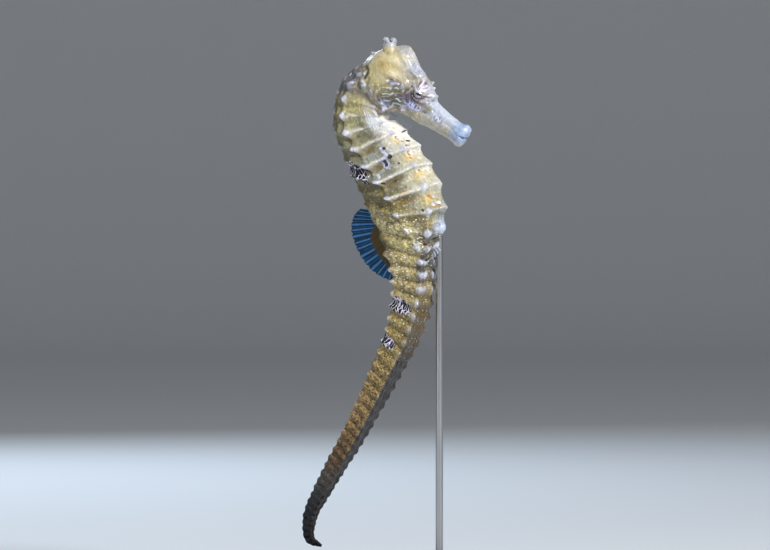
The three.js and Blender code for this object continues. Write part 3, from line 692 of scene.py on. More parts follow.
on_side = step_up(np.abs(head_points[..., 1]), 0.5, 1.6)
side_lift = np.zeros(head_points.shape[:2])
for line, width, height in RIDGE_LINES:
    side_lift += height * hump(line_gap(head_points[..., 0], head_points[..., 2], line), width)
cover_along, cover_up = (head_points[..., n] - m for n, m in zip((0, 2), GILL_COVER["middle"]))
cover_reach = np.hypot(cover_along, cover_up * 1.15) / GILL_COVER["radius"]
dome = np.sqrt(np.maximum(1 - cover_reach**2, 0))
ribs = np.cos(GILL_COVER["ribs"] * np.arctan2(cover_up, cover_along + 3))
side_lift += GILL_COVER["rise"] * dome + GILL_COVER["rib"] * ribs * dome * step_up(cover_reach, 0.15, 0.5)
side_lift -= GILL_COVER["rim"] * hump(cover_reach - 1.06, 0.09)
head_points = head_points + surface_out(head_points) * (side_lift * on_side)[..., None]
spine_middles = []
for place, width, height in SPINES:
    gap = np.linalg.norm(head_points - place, axis=-1)
    foot = np.unravel_index(gap.argmin(), gap.shape)
    outward = surface_out(head_points)
    bulge = near(head_points, head_points[foot], (width,) * 3)
    tip = near(head_points, head_points[foot], (width * 0.6,) * 3)
    spine_middles.append(head_points[foot] + outward[foot] * height * 0.6)
    head_points = head_points + outward * (height * (0.7 * bulge + 0.3 * tip))[..., None]
for place, width, height in FOLDS:
    bulge = near(head_points, place, width)
    head_points = head_points + surface_out(head_points) * (height * bulge)[..., None]

head_points[..., 1] = ball_over(head_points, (0, ORBIT["out"], 0), ORBIT["radius"])
over_eye = head_points[..., 2] > 0
squeeze = np.where(over_eye, LID["upper"], LID["lower"])
from_eye = np.hypot(head_points[..., 0], head_points[..., 2] * squeeze)
under = 1 - step_up(head_points[..., 2], -0.6, 0.8)
lid = (LID["roll"] + LID["lower_roll"] * under) * hump(from_eye - LID["rim"] - 0.1, LID["roll_width"])
lid -= LID["fold"] * hump(from_eye - LID["hollow_at"], 0.2) * under
lid += LID["fold"] * hump(from_eye - LID["fold_at"], 0.3) * under
outside = np.abs(head_points[..., 1]) > 0.6
eye_height = np.abs(head_points[..., 1]) + lid * outside
socket = (1 - step_up(from_eye, LID["rim"] - 0.22, LID["rim"] - 0.02)) * outside
eye_height = eye_height * (1 - socket) + LID["socket"] * socket
head_points[..., 1] = np.sign(head_points[..., 1]) * eye_height

# The slit of the mouth runs back from the lips at both sides.
at_mouth = hump(head_points[..., 2] - MOUTH["level"], MOUTH["height"])
near_lips = step_up(head_points[..., 0], 15.4, 16.7)
head_points[..., 0] -= MOUTH["length"] * at_mouth * near_lips

cos_pitch, sin_pitch = math.cos(PITCH), math.sin(PITCH)


def from_head(points):
    """Places on the head, in its own frame, as places on the model."""
    along, left, up = points[..., 0], points[..., 1], points[..., 2]
    return np.stack([
        HEAD.x + along * cos_pitch + up * sin_pitch,
        left,
        HEAD.z - along * sin_pitch + up * cos_pitch,
    ], axis=-1)


def to_head(points):
    """Places on the model as places in the head's own frame."""
    x, z = points[..., 0] - HEAD.x, points[..., 2] - HEAD.z
    along, up = x * cos_pitch - z * sin_pitch, x * sin_pitch + z * cos_pitch
    return np.stack([along, points[..., 1], up], axis=-1)


head_round = np.abs(np.pi - turn) * 4.4
head = tube(
    "head", from_head(head_points),
    ring=-4.0, fore=0.0, knob=0.0, round=head_round, reach=head_points[..., 0] - 30, head=1.0,
)

# ---------------------------------------------------------------- the skin: crown
# The coronet: a short stout stalk on top of the head that opens into a shallow cup with five round
# knobs, two of them large. It is skin over bone, modelled in lumps and worked together.

CROWN = {"x": -2.1, "z": 147.35, "grain": 0.085}
STALK = {"bottom": 2.8, "top": 1.6, "from": -2.8, "to": 1.95}
CROWN_KNOBS = [  # forward, left and up from the crown's foot, and radius
    ((-1.15, -0.15, 2.58), 0.92), ((1.15, -0.25, 2.46), 0.80), ((0.15, 1.20, 2.25), 0.68),
    ((-0.20, -1.25, 2.10), 0.62), ((1.05, 0.95, 2.15), 0.55),
]


def places_of(mesh):
    """The vertices' places in millimetres."""
    places = np.zeros(3 * len(mesh.vertices), np.float32)
    mesh.vertices.foreach_get("co", places)
    return places.reshape(-1, 3).astype(float) / MM


def apply_modifier(piece, kind, **settings):
    modifier = piece.modifiers.new(kind.lower(), kind)
    for key, value in settings.items():
        setattr(modifier, key, value)
    only(piece)
    bpy.ops.object.modifier_apply(modifier=modifier.name)


crown_foot = Vector((CROWN["x"], 0, CROWN["z"]))
deselect_all()
stalk_middle = Vector((0, 0, (STALK["from"] + STALK["to"]) / 2))
bpy.ops.mesh.primitive_cone_add(
    vertices=48, radius1=STALK["bottom"] * MM, radius2=STALK["top"] * MM,
    depth=(STALK["to"] - STALK["from"]) * MM, location=(crown_foot + stalk_middle) * MM)
lumps = [bpy.context.object]
for place, radius in CROWN_KNOBS:
    bpy.ops.mesh.primitive_uv_sphere_add(
        segments=32, ring_count=20, radius=radius * MM, location=(crown_foot + Vector(place)) * MM)
    lumps.append(bpy.context.object)
only(lumps[0])
for lump in lumps:
    lump.select_set(True)
bpy.ops.object.join()
crown = bpy.context.object
own_place(crown)
apply_modifier(crown, "REMESH", mode="VOXEL", voxel_size=CROWN["grain"] * MM)
apply_modifier(crown, "SMOOTH", factor=0.5, iterations=6)
crown_places = places_of(crown.data)
crown_turn = np.arctan2(crown_places[:, 1], crown_places[:, 0] - CROWN["x"])
none = np.zeros(len(crown_places))
cast.append((crown_places, {
    "ring": none - 5, "fore": none, "knob": none, "round": crown_turn * 1.2,
    "reach": -50 - crown_places[:, 2] + CROWN["z"], "head": none + 2,
}))

# ---------------------------------------------------------------- the skin: made one
# Body, head and crown are joined into a single skin, the join behind the head is worked smooth,
# and the whole surface gets the low lumps of skin drawn over bone.

JOIN = {"reach": 2.2, "passes": 14}  # millimetres from the seam that are worked smooth, and how often
LUMPS = [("lumps", 2.4, 0.30), ("creases", 0.9, 0.16)]  # name, size and height in millimetres

for piece in (crown, body):
    apply_modifier(head, "BOOLEAN", operation="UNION", solver="EXACT", object=piece)
    bpy.data.objects.remove(piece)
skin = head
skin.name = "skin"


def soft_noise(name, size):
    texture = bpy.data.textures.new(name, "CLOUDS")
    texture.noise_scale = size * MM
    texture.noise_depth = 2
    return texture


def nearest_of(points, places):
    """For each place, which of the points is nearest, and how far off it is."""
    tree = kdtree.KDTree(len(points))
    for index, point in enumerate(points):
        tree.insert(point, index)
    tree.balance()
    _, indices, gaps = zip(*(tree.find(place) for place in places))
    return np.array(indices), np.array(gaps)


def weigh(name, weights):
    """A vertex group of the skin with a weight for every vertex."""
    group = skin.vertex_groups.new(name=name)
    for index, weight in enumerate(weights):
        group.add([index], float(weight), "REPLACE")


places = places_of(skin.data)
cast_places = np.concatenate([points for points, _ in cast])
nearest_cast, _ = nearest_of(cast_places, places)
mark = {
    name: np.concatenate([marks[name] for _, marks in cast])[nearest_cast] for name in cast[0][1]
}
of_body, of_crown = mark["head"] < 0.5, mark["head"] > 1.5

ends = np.zeros(2 * len(skin.data.edges), np.int32)
skin.data.edges.foreach_get("vertices", ends)
ends = ends.reshape(-1, 2)
seam = ends[of_body[ends[:, 0]] != of_body[ends[:, 1]]].reshape(-1)
_, from_seam = nearest_of(places[seam], places)
weigh("join", 1 - step_up(from_seam, 0, JOIN["reach"]))
apply_modifier(skin, "SMOOTH", factor=0.5, iterations=JOIN["passes"], vertex_group="join")

from_eyes = np.hypot(*to_head(places)[:, [0, 2]].T)
weigh("textured", np.where(of_body, 1, 1 - hump(from_eyes, 2.2)) * np.where(of_crown, 0.25, 1))
for name, size, height in LUMPS:
    apply_modifier(skin, "DISPLACE", texture=soft_noise(name, size), strength=height * MM,
                   mid_level=0.55, vertex_group="textured")
skin.vertex_groups.clear()

# ---------------------------------------------------------------- the skin: painted
# The broad colours are laid on by place, as with an airbrush: gold crown, mauve cheek, cream trunk
# with painted shade in its olive hollows, near-white belly, ochre tail that darkens to black. The finish
# then adds the fine marks: beads of pigment and painted white glints, thin lines, spots, netted saddles.

places = places_of(skin.data)
on_head = ~of_body
ring, fore = mark["ring"], mark["fore"]
head_place = to_head(places)
head_side = np.abs(head_place[:, 1])
a, u = head_place[:, 0], head_place[:, 2]  # along the snout and up, on the head
from_eye = np.hypot(a, u)


def blob(values, middle, widths):
    """1 at the middle of a soft oval, falling away over its widths."""
    return np.exp(-sum(((v - m) / w) ** 2 for v, m, w in zip(values, middle, widths)))


def painted(colours, coats):
    """Colours with coats over them, one after the other: a colour and an amount for every place."""
    for colour, amount in coats:
        amount = np.clip(amount, 0, 1)[:, None]
        colours = colours * (1 - amount) + np.array(colour) * amount
    return colours


def sprayed(colours, x, y, blobs):
    """Colours with soft ovals over them, by place and widths in x and y, colour and amount."""
    return painted(colours, [
        (colour, amount * blob((x, y), (at_x, at_y), (wide, high)))
        for at_x, at_y, wide, high, colour, amount in blobs
    ])


def gap_from(x, y, points):
    """How far each place is from a line, or from a dot if there is only one point."""
    if len(points) == 1:
        return np.hypot(x - points[0][0], y - points[0][1])
    return line_gap(x, y, points)


def by_ring(keys):
    """The colour of each place from (ring, red, green, blue) keys."""
    return np.stack([column(keys, n, ring) for n in (1, 2, 3)], axis=-1)


BODY_COLOURS = [  # ring, red, green, blue
    (-2, 0.28, 0.22, 0.11), (0.5, 0.22, 0.19, 0.14), (1.5, 0.34, 0.29, 0.12), (3, 0.30, 0.285, 0.16),
    (5.5, 0.225, 0.23, 0.165), (8, 0.165, 0.143, 0.060), (9.2, 0.55, 0.48, 0.24),
    (10.5, 0.72, 0.61, 0.27), (12, 0.60, 0.50, 0.25), (14, 0.47, 0.38, 0.18), (16.5, 0.35, 0.26, 0.09),
    (19, 0.40, 0.29, 0.10), (22, 0.35, 0.235, 0.085), (25, 0.32, 0.20, 0.075), (29, 0.15, 0.080, 0.028),
    (33, 0.070, 0.055, 0.050), (36.5, 0.006, 0.008, 0.012), (45, 0.003, 0.004, 0.008),
]
# From ring 8 the belly darkens: its own olive, deepened as painted shade where the belly turns in.
BELLY_COLOURS = [
    (0, 0.50, 0.46, 0.42), (1.8, 0.80, 0.75, 0.70), (3.2, 0.97, 0.90, 0.84), (4.2, 0.97, 0.90, 0.84),
    (5.0, 0.84, 0.78, 0.68), (5.8, 0.58, 0.54, 0.46), (7, 0.55, 0.50, 0.38), (8, 0.36, 0.34, 0.26),
    (8.8, 0.11, 0.115, 0.09), (10.5, 0.10, 0.11, 0.095),
]
# Painted shade of the back at the foot of the fin of the back.
FIN_FOOT_SHADE = (10.7, -0.44, 1.1, 0.20, (0.075, 0.050, 0.012), 1.1)
UNDER_BLOBS = [  # ring, share of the depth forward, widths, colour, amount
    (6.8, 0.24, 1.3, 0.10, (0.72, 0.68, 0.52), 0.6),
    (5.7, -0.06, 1.0, 0.12, (0.34, 0.37, 0.36), 0.9),
]
OVER_BLOBS = [
    (9.3, 0.45, 0.38, 0.06, (0.50, 0.58, 0.74), 0.85),
    (10.35, 0.26, 0.26, 0.045, (0.42, 0.47, 0.55), 0.85),
    (10.5, 0.37, 0.32, 0.05, (0.20, 0.215, 0.21), 0.8),
    # painted shade at the foot of the fin of the back
    FIN_FOOT_SHADE,
    (0.1, -0.30, 1.3, 0.20, (0.12, 0.12, 0.155), 0.95),
    (2.2, 0.22, 0.55, 0.12, (0.30, 0.21, 0.055), 0.85),
    (0, -0.08, 0.5, 0.07, (0.42, 0.33, 0.14), 0.5),
]
whole = np.clip(np.floor(ring), -NAPE_RINGS, LAST_RING - 1)
share = ring - whole
from_crest = (share - 0.5) * ring_length[(whole + NAPE_RINGS).astype(int)]
flank_fore = column(RIDGES[2], 1, ring)
past_flank = fore - flank_fore
in_trunk = step_up(ring, -1, 1.5) * (1 - step_up(ring, 8, 10.5))
on_tail = step_up(ring, 9, 11)
plate = step_up(past_flank, -0.06, 0.03)  # in front of the flank's ridge
front = step_up(fore, 0.25, 0.42)
groove = 1 - np.abs(np.sin(np.pi * share))

pale_belly = step_up(ring, 0, 2.5) * (1 - step_up(ring, 9.6, 11.0)) * step_up(fore, 0.04, 0.30)
dim_back = in_trunk * (1 - step_up(fore, -0.42, flank_fore)) * (1 - 0.85 * step_up(ring, 7, 8.8))
gold_belly = hump(np.minimum(share, 1 - share), 0.22) * hump(fore - 0.36, 0.08) * step_up(ring, 3.5, 5)
hollow_end = through([(3, -0.08), (5, -0.02), (6.5, 0.14), (8, 0.2)], ring)
mid_plate = step_up(past_flank, 0, 0.1) * (1 - step_up(fore, hollow_end, hollow_end + 0.16))
# Painted shade: olive-brown in the hollow just tailward of each crest of the trunk, and beside the flank's
# ridge.
hollow = hump(from_crest - 1.35, 0.95) * in_trunk * (0.2 + 0.8 * mid_plate) * plate * (1 - front)
hollow *= step_up(ring, 3.4, 5.2) * (1 - 0.5 * step_up(past_flank, 0.2, 0.4))
flank_shade = hump(past_flank - 0.08, 0.10) * hump(from_crest - 1.3, 1.0) * in_trunk * step_up(ring, 0.5, 2)
pale_crest = hump(from_crest + 0.1, 0.5) * in_trunk * plate * (1 - 0.6 * front) * step_up(ring, 1, 4)
pale_crest *= 1 - 0.5 * step_up(ring, 7.6, 8.6)
pit = blob((from_crest, past_flank), (1.8, -0.035), (1.1, 0.045)) * in_trunk * step_up(ring, 1, 3)
light_back = hump(np.abs(fore + 0.47), 0.09) * on_tail * (1 - step_up(ring, 26, 32)) * (1 - groove)
pale_front = step_up(ring, 9.2, 10.2) * (1 - step_up(ring, 12.4, 13.6)) * step_up(fore, 0.28, 0.40)
bead = step_up(mark["knob"], 0.2, 0.55) * (1 - step_up(ring, 14.5, 20))
pale_bead = bead * (0.45 + 0.55 * step_up(past_flank, -0.14, -0.06))
pale_bead *= 1 - 0.75 * step_up(fore, 0.44, 0.48) * (1 - step_up(ring, 8.5, 10))
corner = hump(fore - 0.45, 0.04) * step_up(ring, 14, 17) * (1 - step_up(ring, 24, 31)) * (1 - groove)
# the belly face of the tail, painted as shade
shaded_belly_face = step_up(ring, 12.6, 15.0) * step_up(fore, 0.455, 0.485)

tint = painted(by_ring(BODY_COLOURS), [
    ((0.17, 0.145, 0.075), 0.65 * dim_back),
    (by_ring(BELLY_COLOURS), 0.9 * pale_belly),
])
tint = painted(sprayed(tint, ring, fore, UNDER_BLOBS), [
    ((0.76, 0.55, 0.15), 0.65 * gold_belly * in_trunk),
    # painted shade in the hollows behind the crests and beside the flank's ridge
    ((0.14, 0.10, 0.035), 0.95 * hollow),
    ((0.17, 0.13, 0.045), 0.55 * flank_shade),
    ((0.80, 0.76, 0.66), 0.85 * pale_crest),
    ((0.20, 0.125, 0.018), 0.95 * pit),
    # painted shade in the grooves between the tail's rings
    ((0.070, 0.045, 0.014), 0.75 * on_tail * groove**2 * (1 - step_up(ring, 30, 36))),
    ((0.36, 0.32, 0.24), 0.6 * light_back),
    ((0.09, 0.098, 0.095), 0.85 * pale_front),
    # painted shade in the grooves between these rings
    ((0.045, 0.035, 0.030), 0.7 * pale_front * groove),
    ((0.60, 0.60, 0.70), 0.9 * pale_bead),
    ((0.30, 0.27, 0.22), 0.7 * corner),
    # painted shade over the tail's belly face, near black from ring 16 on
    ((0.085, 0.055, 0.022), 0.9 * shaded_belly_face),
    ((0.010, 0.006, 0.004), 0.97 * shaded_belly_face * step_up(ring, 16, 19.5)),
])
tint = sprayed(tint, ring, fore, OVER_BLOBS)

HEAD_BLOBS = [  # along, up, widths, colour, amount
    (-12.0, -2.0, 5.5, 4.6, (0.49, 0.41, 0.18), 0.9),
    (-11.0, 4.6, 4.6, 2.8, (0.80, 0.67, 0.38), 0.9),
    (-12.6, 2.0, 1.8, 1.3, (0.36, 0.25, 0.06), 0.85),
    (-14.0, 5.0, 1.0, 0.8, (0.36, 0.26, 0.08), 0.8),
    (-9.6, 2.9, 1.5, 0.7, (0.44, 0.32, 0.11), 0.75),
    (-14.6, -0.6, 1.6, 1.0, (0.44, 0.36, 0.16), 0.5),
    (-4.6, -5.4, 2.6, 1.2, (0.14, 0.135, 0.14), 0.55),
    (-11.2, -1.6, 1.4, 0.9, (0.62, 0.54, 0.34), 0.7),
    (-8.3, 1.6, 1.4, 1.0, (0.74, 0.64, 0.42), 0.8),
    (-4.4, 5.2, 4.2, 1.8, (0.40, 0.42, 0.51), 0.9),
    (-9.6, 7.9, 3.6, 1.1, (0.42, 0.42, 0.48), 0.8),
    (-7.2, 4.2, 1.0, 0.7, (0.66, 0.58, 0.42), 0.6),
    (-4.4, 2.4, 1.4, 1.2, (0.36, 0.33, 0.26), 0.6),
    (-7.6, -0.6, 2.2, 0.9, (0.13, 0.11, 0.15), 0.7),
    (-2.6, -1.4, 1.9, 2.2, (0.12, 0.09, 0.07), 0.9),
    (2.6, -1.7, 1.6, 1.0, (0.12, 0.070, 0.045), 0.85),
    (-1.0, -2.8, 2.4, 1.2, (0.11, 0.095, 0.19), 0.85),
    (0.8, -6.0, 3.6, 1.3, (0.44, 0.40, 0.28), 0.85),
    (-0.6, -4.6, 1.6, 0.7, (0.30, 0.28, 0.40), 0.8),
    (-7.2, -7.2, 1.6, 0.7, (0.46, 0.44, 0.54), 0.75),
    (-12.4, -7.2, 1.2, 1.8, (0.52, 0.48, 0.54), 0.7),
    (-9.2, -9.3, 2.6, 1.0, (0.30, 0.20, 0.05), 0.9),
    (-17.0, -4.6, 1.5, 1.3, (0.48, 0.44, 0.52), 0.7),
    (-16.5, -2.0, 0.8, 0.7, (0.50, 0.40, 0.20), 0.7),
    (3.85, 0.5, 0.7, 0.6, (0.20, 0.205, 0.19), 0.9),
    (4.5, -1.9, 1.4, 0.7, (0.17, 0.16, 0.075), 0.9),
    (2.9, 1.2, 1.1, 0.8, (0.22, 0.21, 0.20), 0.7),
    (3.8, -3.4, 0.45, 0.35, (0.03, 0.025, 0.03), 0.9),
]
on_snout = step_up(a, 1.5, 5)
ragged = 0.10 * np.sin(2.3 * a + 1.1 * u) + 0.10 * np.sin(3.1 * u - 1.7 * a + 1)
cover = (np.abs((a + 6.2) / 4.3) ** 3 + np.abs((u + 3.5) / 3.4) ** 3) ** (1 / 3) + ragged
head_tint = painted(np.tile([0.40, 0.35, 0.26], (len(places), 1)), [
    ((0.46, 0.43, 0.36), on_snout),
    ((0.54, 0.58, 0.69), 0.9 * step_up(a, -1, 5) * step_up(u, -4.4, -1.6)),
    ((0.036, 0.034, 0.032), 0.97 * (1 - step_up(cover, 0.78, 1.12))),
])
lips = step_up(a, 11.6, 14.8)
by_eye = step_up(head_side, 1.2, 2.0) * on_head
head_tint = painted(sprayed(head_tint, a, u, HEAD_BLOBS), [
    ((0.30, 0.41, 0.62), 0.85 * lips * step_up(u, -6.6, -4.8)),
    ((0.62, 0.58, 0.60), 0.7 * lips * (1 - step_up(u, -5.9, -4.7))),
    ((0.60, 0.62, 0.80), 0.8 * blob((a, u), (16.5, -1.5), (0.9, 0.7))),
    ((0.50, 0.44, 0.54), 0.85 * by_eye * blob((a, u), (0.6, 2.2), (1.6, 1.0))),
])
for middle_of_spine, (_, width, height) in zip(spine_middles, SPINES):
    gap = np.linalg.norm(np.stack([a, head_side, u], axis=-1) - middle_of_spine, axis=-1)
    on_spine = hump(gap / (width + 0.3 * height), 0.8)
    head_tint = painted(head_tint, [((0.55, 0.55, 0.76), 0.9 * on_spine)])
on_crown = step_up(places[:, 2], CROWN["z"] + 0.2, CROWN["z"] + 1.6)
head_tint = painted(head_tint, [((0.42, 0.42, 0.46), on_crown)])
tint = np.where(on_head[:, None], head_tint, tint)

BLACK, PLUM, VIOLET = (0.012, 0.010, 0.009), (0.09, 0.025, 0.045), (0.24, 0.17, 0.52)
LILAC, BLUE, SKY = (0.48, 0.42, 0.54), (0.42, 0.55, 0.85), (0.62, 0.74, 0.92)
WHITE, GREY, PINK = (0.92, 0.92, 0.96), (0.40, 0.42, 0.40), (0.90, 0.82, 0.92)
HEAD_MARKS = [  # a line or a dot of points along and up, half its width, colour
    # the gill opening: painted shade inside its slit, and a painted highlight on the knob within it
    ([(-17.4, -1.4), (-16.25, -1.15), (-15.5, -1.5), (-15.2, -2.1), (-15.2, -3.9)], 0.36, BLACK),
    ([(-16.1, -2.9)], 0.42, WHITE),
    ([(-15.6, -6.4), (-14.8, -6.2), (-14.4, -5.6)], 0.30, SKY),
    # lower edge of the gill cover
    ([(-9.6, -6.3), (-8.8, -6.9), (-8.1, -7.2)], 0.24, BLACK),
    ([(-6.7, -6.7), (-5.6, -7.3)], 0.22, BLACK),
    ([(-8.5, -7.75)], 0.45, SKY),
    ([(-7.55, -7.5)], 0.36, WHITE),
    ([(-6.9, -8.0), (-6.1, -7.9)], 0.27, SKY),
    ([(-7.9, -7.0), (-7.3, -6.3), (-6.5, -5.8), (-6.0, -5.6)], 0.22, BLUE),
    # upper cheek
    ([(-9.1, -1.0)], 0.32, WHITE),
    ([(-8.3, -0.3)], 0.40, PLUM),
    ([(-7.7, -1.15), (-7.2, -1.0)], 0.36, BLUE),
    ([(-6.9, -0.55)], 0.34, LILAC),
    ([(-6.2, -0.25)], 0.30, PINK),
    ([(-4.9, -0.05)], 0.45, (0.46, 0.52, 0.66)),
    ([(-7.2, -2.3)], 0.28, SKY),
    ([(-4.05, -1.15)], 0.34, GREY),
    ([(-5.1, -3.25)], 0.26, GREY),
    ([(-2.9, -1.15), (-2.2, 0.6)], 0.36, (0.30, 0.28, 0.32)),
    # hood and upper lid
    ([(-0.7, 2.3), (0.0, 1.6)], 0.60, PINK),
    ([(-0.1, 3.6)], 0.45, (0.34, 0.28, 0.34)),
    ([(-0.95, 3.6), (-0.65, 2.3)], 0.20, WHITE),
    ([(0.5, 1.35), (0.93, 1.8), (1.25, 2.4)], 0.20, SKY),
    ([(-1.6, 2.8), (-1.0, 1.7)], 0.17, (0.30, 0.22, 0.30)),
    ([(0.05, 3.0), (0.35, 2.1)], 0.16, LILAC),
    ([(-3.0, 1.85), (-2.2, 1.5), (-1.4, 1.16), (-0.7, 0.85)], 0.20, SKY),
    ([(-2.75, 1.0)], 0.34, PLUM),
    ([(-1.75, 0.4)], 0.26, PLUM),
    ([(-2.0, -0.35)], 0.22, PLUM),
    # folds under the eye
    ([(-1.0, -0.9), (-0.3, -1.25), (0.4, -1.42), (1.2, -1.3), (1.8, -0.8)], 0.24, LILAC),
    ([(-1.6, -0.4), (-1.15, -1.1), (-0.2, -1.65), (0.4, -1.9), (1.2, -2.0)], 0.22, BLACK),
    ([(1.2, -0.75), (1.8, -0.2), (2.0, 0.5)], 0.18, PLUM),
    # flecks under them
    ([(-2.1, -3.7), (-1.1, -3.75), (-0.3, -4.0), (0.6, -4.1), (1.4, -4.0), (2.05, -3.65)], 0.24, BLUE),
    ([(0.0, -3.0)], 0.55, VIOLET),
    ([(0.0, -3.0)], 0.32, WHITE),
    ([(2.2, -2.85)], 0.30, SKY),
    ([(2.05, -3.65)], 0.28, WHITE),
    ([(1.8, -3.15)], 0.28, VIOLET),
    ([(-1.0, -3.2)], 0.32, PLUM),
    ([(-2.05, -2.95)], 0.27, PLUM),
    ([(2.95, -1.95)], 0.28, (0.28, 0.40, 0.40)),
    # by the nostril
    ([(2.55, 1.1), (2.85, 1.7), (3.4, 1.7)], 0.24, WHITE),
    ([(3.08, -0.48)], 0.28, WHITE),
    ([(3.8, -0.6)], 0.28, (0.06, 0.07, 0.07)),
]
on_cheek = on_head * step_up(head_side, 0.8, 1.4)
for points, width, colour in HEAD_MARKS:
    firm = np.exp(-((gap_from(a, u, points) / width) ** 4))
    tint = painted(tint, [(colour, 0.95 * on_cheek * firm)])

BODY_MARKS = [  # name, colour, and marks by ring and share of the depth forward, with half widths
    ("rusty_marks", (0.50, 0.22, 0.035), [
        ([(4.84, 0.375), (4.95, 0.385)], 0.44), ([(5.13, 0.41)], 0.40), ([(5.46, 0.385)], 0.40),
        ([(5.74, 0.395), (5.86, 0.39)], 0.36), ([(6.84, 0.40)], 0.38),
        ([(7.86, 0.385), (7.98, 0.42)], 0.36), ([(8.3, 0.39)], 0.36), ([(3.88, 0.30)], 0.36),
        ([(5.81, 0.375)], 0.30), ([(6.06, 0.385)], 0.30), ([(7.38, 0.11)], 0.30),
        ([(7.25, 0.16)], 0.30), ([(8.38, 0.44)], 0.34),
    ]),
    # the eye-like mark of the flank, and pale dots of the neck
    ("pale_marks", (0.74, 0.76, 0.98), [
        ([(5.0, 0.11), (5.15, 0.112)], 0.52), ([(5.15, 0.115), (5.45, 0.12)], 0.40),
        ([(5.62, 0.065), (5.86, 0.065)], 1.0), ([(0.0, -0.39)], 0.36), ([(0.06, -0.25)], 0.34),
        ([(0.25, -0.18)], 0.32),
    ]),
    ("white_marks", (0.92, 0.92, 0.96), [
        ([(4.90, 0.39), (5.10, 0.43)], 0.38), ([(5.52, 0.392)], 0.34),
        ([(5.76, 0.405), (5.88, 0.408)], 0.32), ([(6.81, 0.412)], 0.34), ([(7.12, 0.39)], 0.34),
        ([(7.95, 0.415)], 0.34), ([(8.25, 0.40)], 0.34),
        ([(6.1, -0.09), (6.28, -0.085)], 0.34), ([(5.1, 0.195), (5.44, 0.215)], 0.26),
    ]),
    ("dark_marks", (0.030, 0.014, 0.012), [
        ([(5.08, 0.155)], 0.52), ([(5.56, 0.16)], 0.62), ([(5.66, 0.062), (5.84, 0.058)], 0.50),
        ([(4.56, 0.462)], 0.36), ([(5.19, 0.452)], 0.36), ([(6.62, -0.07)], 0.40), ([(6.75, 0.07)], 0.34),
        ([(6.06, 0.22)], 0.34), ([(8.38, 0.28)], 0.32), ([(10.12, 0.35)], 0.48), ([(9.94, 0.45)], 0.40),
        ([(11.1, 0.42)], 0.36), ([(11.3, 0.47)], 0.34),
    ]),
]


def gap_to(marks):
    """How far each place of the body is from the nearest of some marks, where 1 is a mark's edge."""
    x, y = mark["reach"], fore * size_of(DEPTH, ring)
    nearest = np.full(len(places), 9.0)
    for points, width in marks:
        at, forward = np.array(points, float).T
        line = np.stack([reach_of(at), forward * size_of(DEPTH, at)], axis=-1)
        gap = gap_from(x, y, line)
        if len(points) == 1:  # a dot is moved to the nearest place of the body
            on = np.argmin(np.where(of_body, gap, 99))
            gap = gap_from(x, y, [(x[on], y[on])])
        nearest = np.minimum(nearest, gap / width)
    return np.where(of_body, nearest, 9)


SADDLES = [  # ring, share of the depth forward, and half of their lengths: dark netted patches
    (6.1, -0.35, 0.70, 0.14), (6.45, -0.29, 0.34, 0.06),
    (15.15, -0.14, 0.60, 0.48), (18.25, -0.24, 0.52, 0.38),
]
dark = np.zeros(len(places))
for at, forward, long, wide in SADDLES:
    inside = 1.5 - np.hypot((ring - at) / long, (fore - forward) / wide)
    dark = np.maximum(dark, np.clip(inside, 0, 1) * of_body)

granular = through([(-2, 0.05), (6, 0.08), (8, 0.4), (9, 0.9), (10, 1), (14, 1), (18, 0.5), (22, 0)], ring)
granular *= 1 - 0.8 * front * (1 - step_up(ring, 8, 10)) - 0.5 * front * step_up(ring, 9, 11)
granular *= 1 - 0.85 * np.minimum(1, 1.3 * blob((ring, fore), FIN_FOOT_SHADE[:2], FIN_FOOT_SHADE[2:4]))
granular = np.where(on_head, 0.1, granular * (1 - 0.8 * bead))
striped = step_up(ring, 2.5, 4.5) * (1 - step_up(ring, 9, 10.5)) * (1 - step_up(fore, 0.3, 0.42))
striped *= (1 - hump(from_crest, 0.7)) * (0.8 - 0.5 * step_up(fore, 0.0, 0.2))
chest = step_up(ring, 1.2, 2.4) * (1 - step_up(ring, 3.0, 4.8)) * step_up(fore, -0.05, 0.15)
spotted = step_up(ring, 0, 2) * (1 - step_up(ring, 8.5, 10.5)) * step_up(fore, -0.10, 0.15)
flecks = blob((a, u), (0.2, -3.2), (2.6, 0.75)) + blob((a, u), (8.0, -3.1), (1.7, 0.9))
golden_head = (1 - on_snout) * (1 - step_up(u - 0.8 * a, 4.5, 8.5)) * (0.1 + 0.9 * step_up(cover, 0.8, 1.2))
golden_body = (1 - 0.7 * pale_belly) * (1 - step_up(ring, 26, 32)) * (1 - shaded_belly_face)
ray_share = by_eye * step_up(from_eye, 0.9, 1.5) * (1 - step_up(from_eye, 2.8, 4.4))
ray_share *= step_up(u + 0.4 * a, -0.2, 1.0)

THREADS = [  # thin pale lines of the cheek, along and up
    [(-10.7, -6.0), (-10.35, -5.1), (-10.0, -4.4), (-9.7, -3.75), (-9.1, -3.3), (-8.2, -2.8), (-7.6, -2.4)],
    [(-8.6, -4.8), (-7.9, -4.4), (-7.0, -4.15), (-6.4, -3.8), (-5.9, -3.1)],
    [(-5.4, -7.6), (-5.1, -6.6), (-4.9, -5.9), (-4.45, -5.3), (-3.65, -4.95), (-2.9, -5.1)],
    [(-6.6, -1.9), (-5.9, -1.5), (-5.2, -1.6)],
    [(-4.6, -4.2), (-3.8, -3.9), (-3.1, -4.1)],
    [(-15.6, -4.8), (-14.4, -5.4), (-13.6, -6.6), (-12.6, -7.0)],
]
wavy_a = a + 0.14 * np.sin(3.1 * u + 1.3 * a)
wavy_u = u + 0.14 * np.sin(2.7 * a - 1.1 * u)
thread_gap = np.min([line_gap(wavy_a, wavy_u, thread) for thread in THREADS], axis=0)

body_lay = np.stack([mark["reach"], mark["round"], places[:, 1] * 0.3], axis=-1)
eye_turn = np.arctan2(u, a)


def keep(name, kind, field, values):
    """Keeps a value of every vertex on the skin, for the finish to read."""
    data = skin.data.attributes.new(name, kind, "POINT").data
    data.foreach_set(field, np.ascontiguousarray(values, np.float32).reshape(-1))


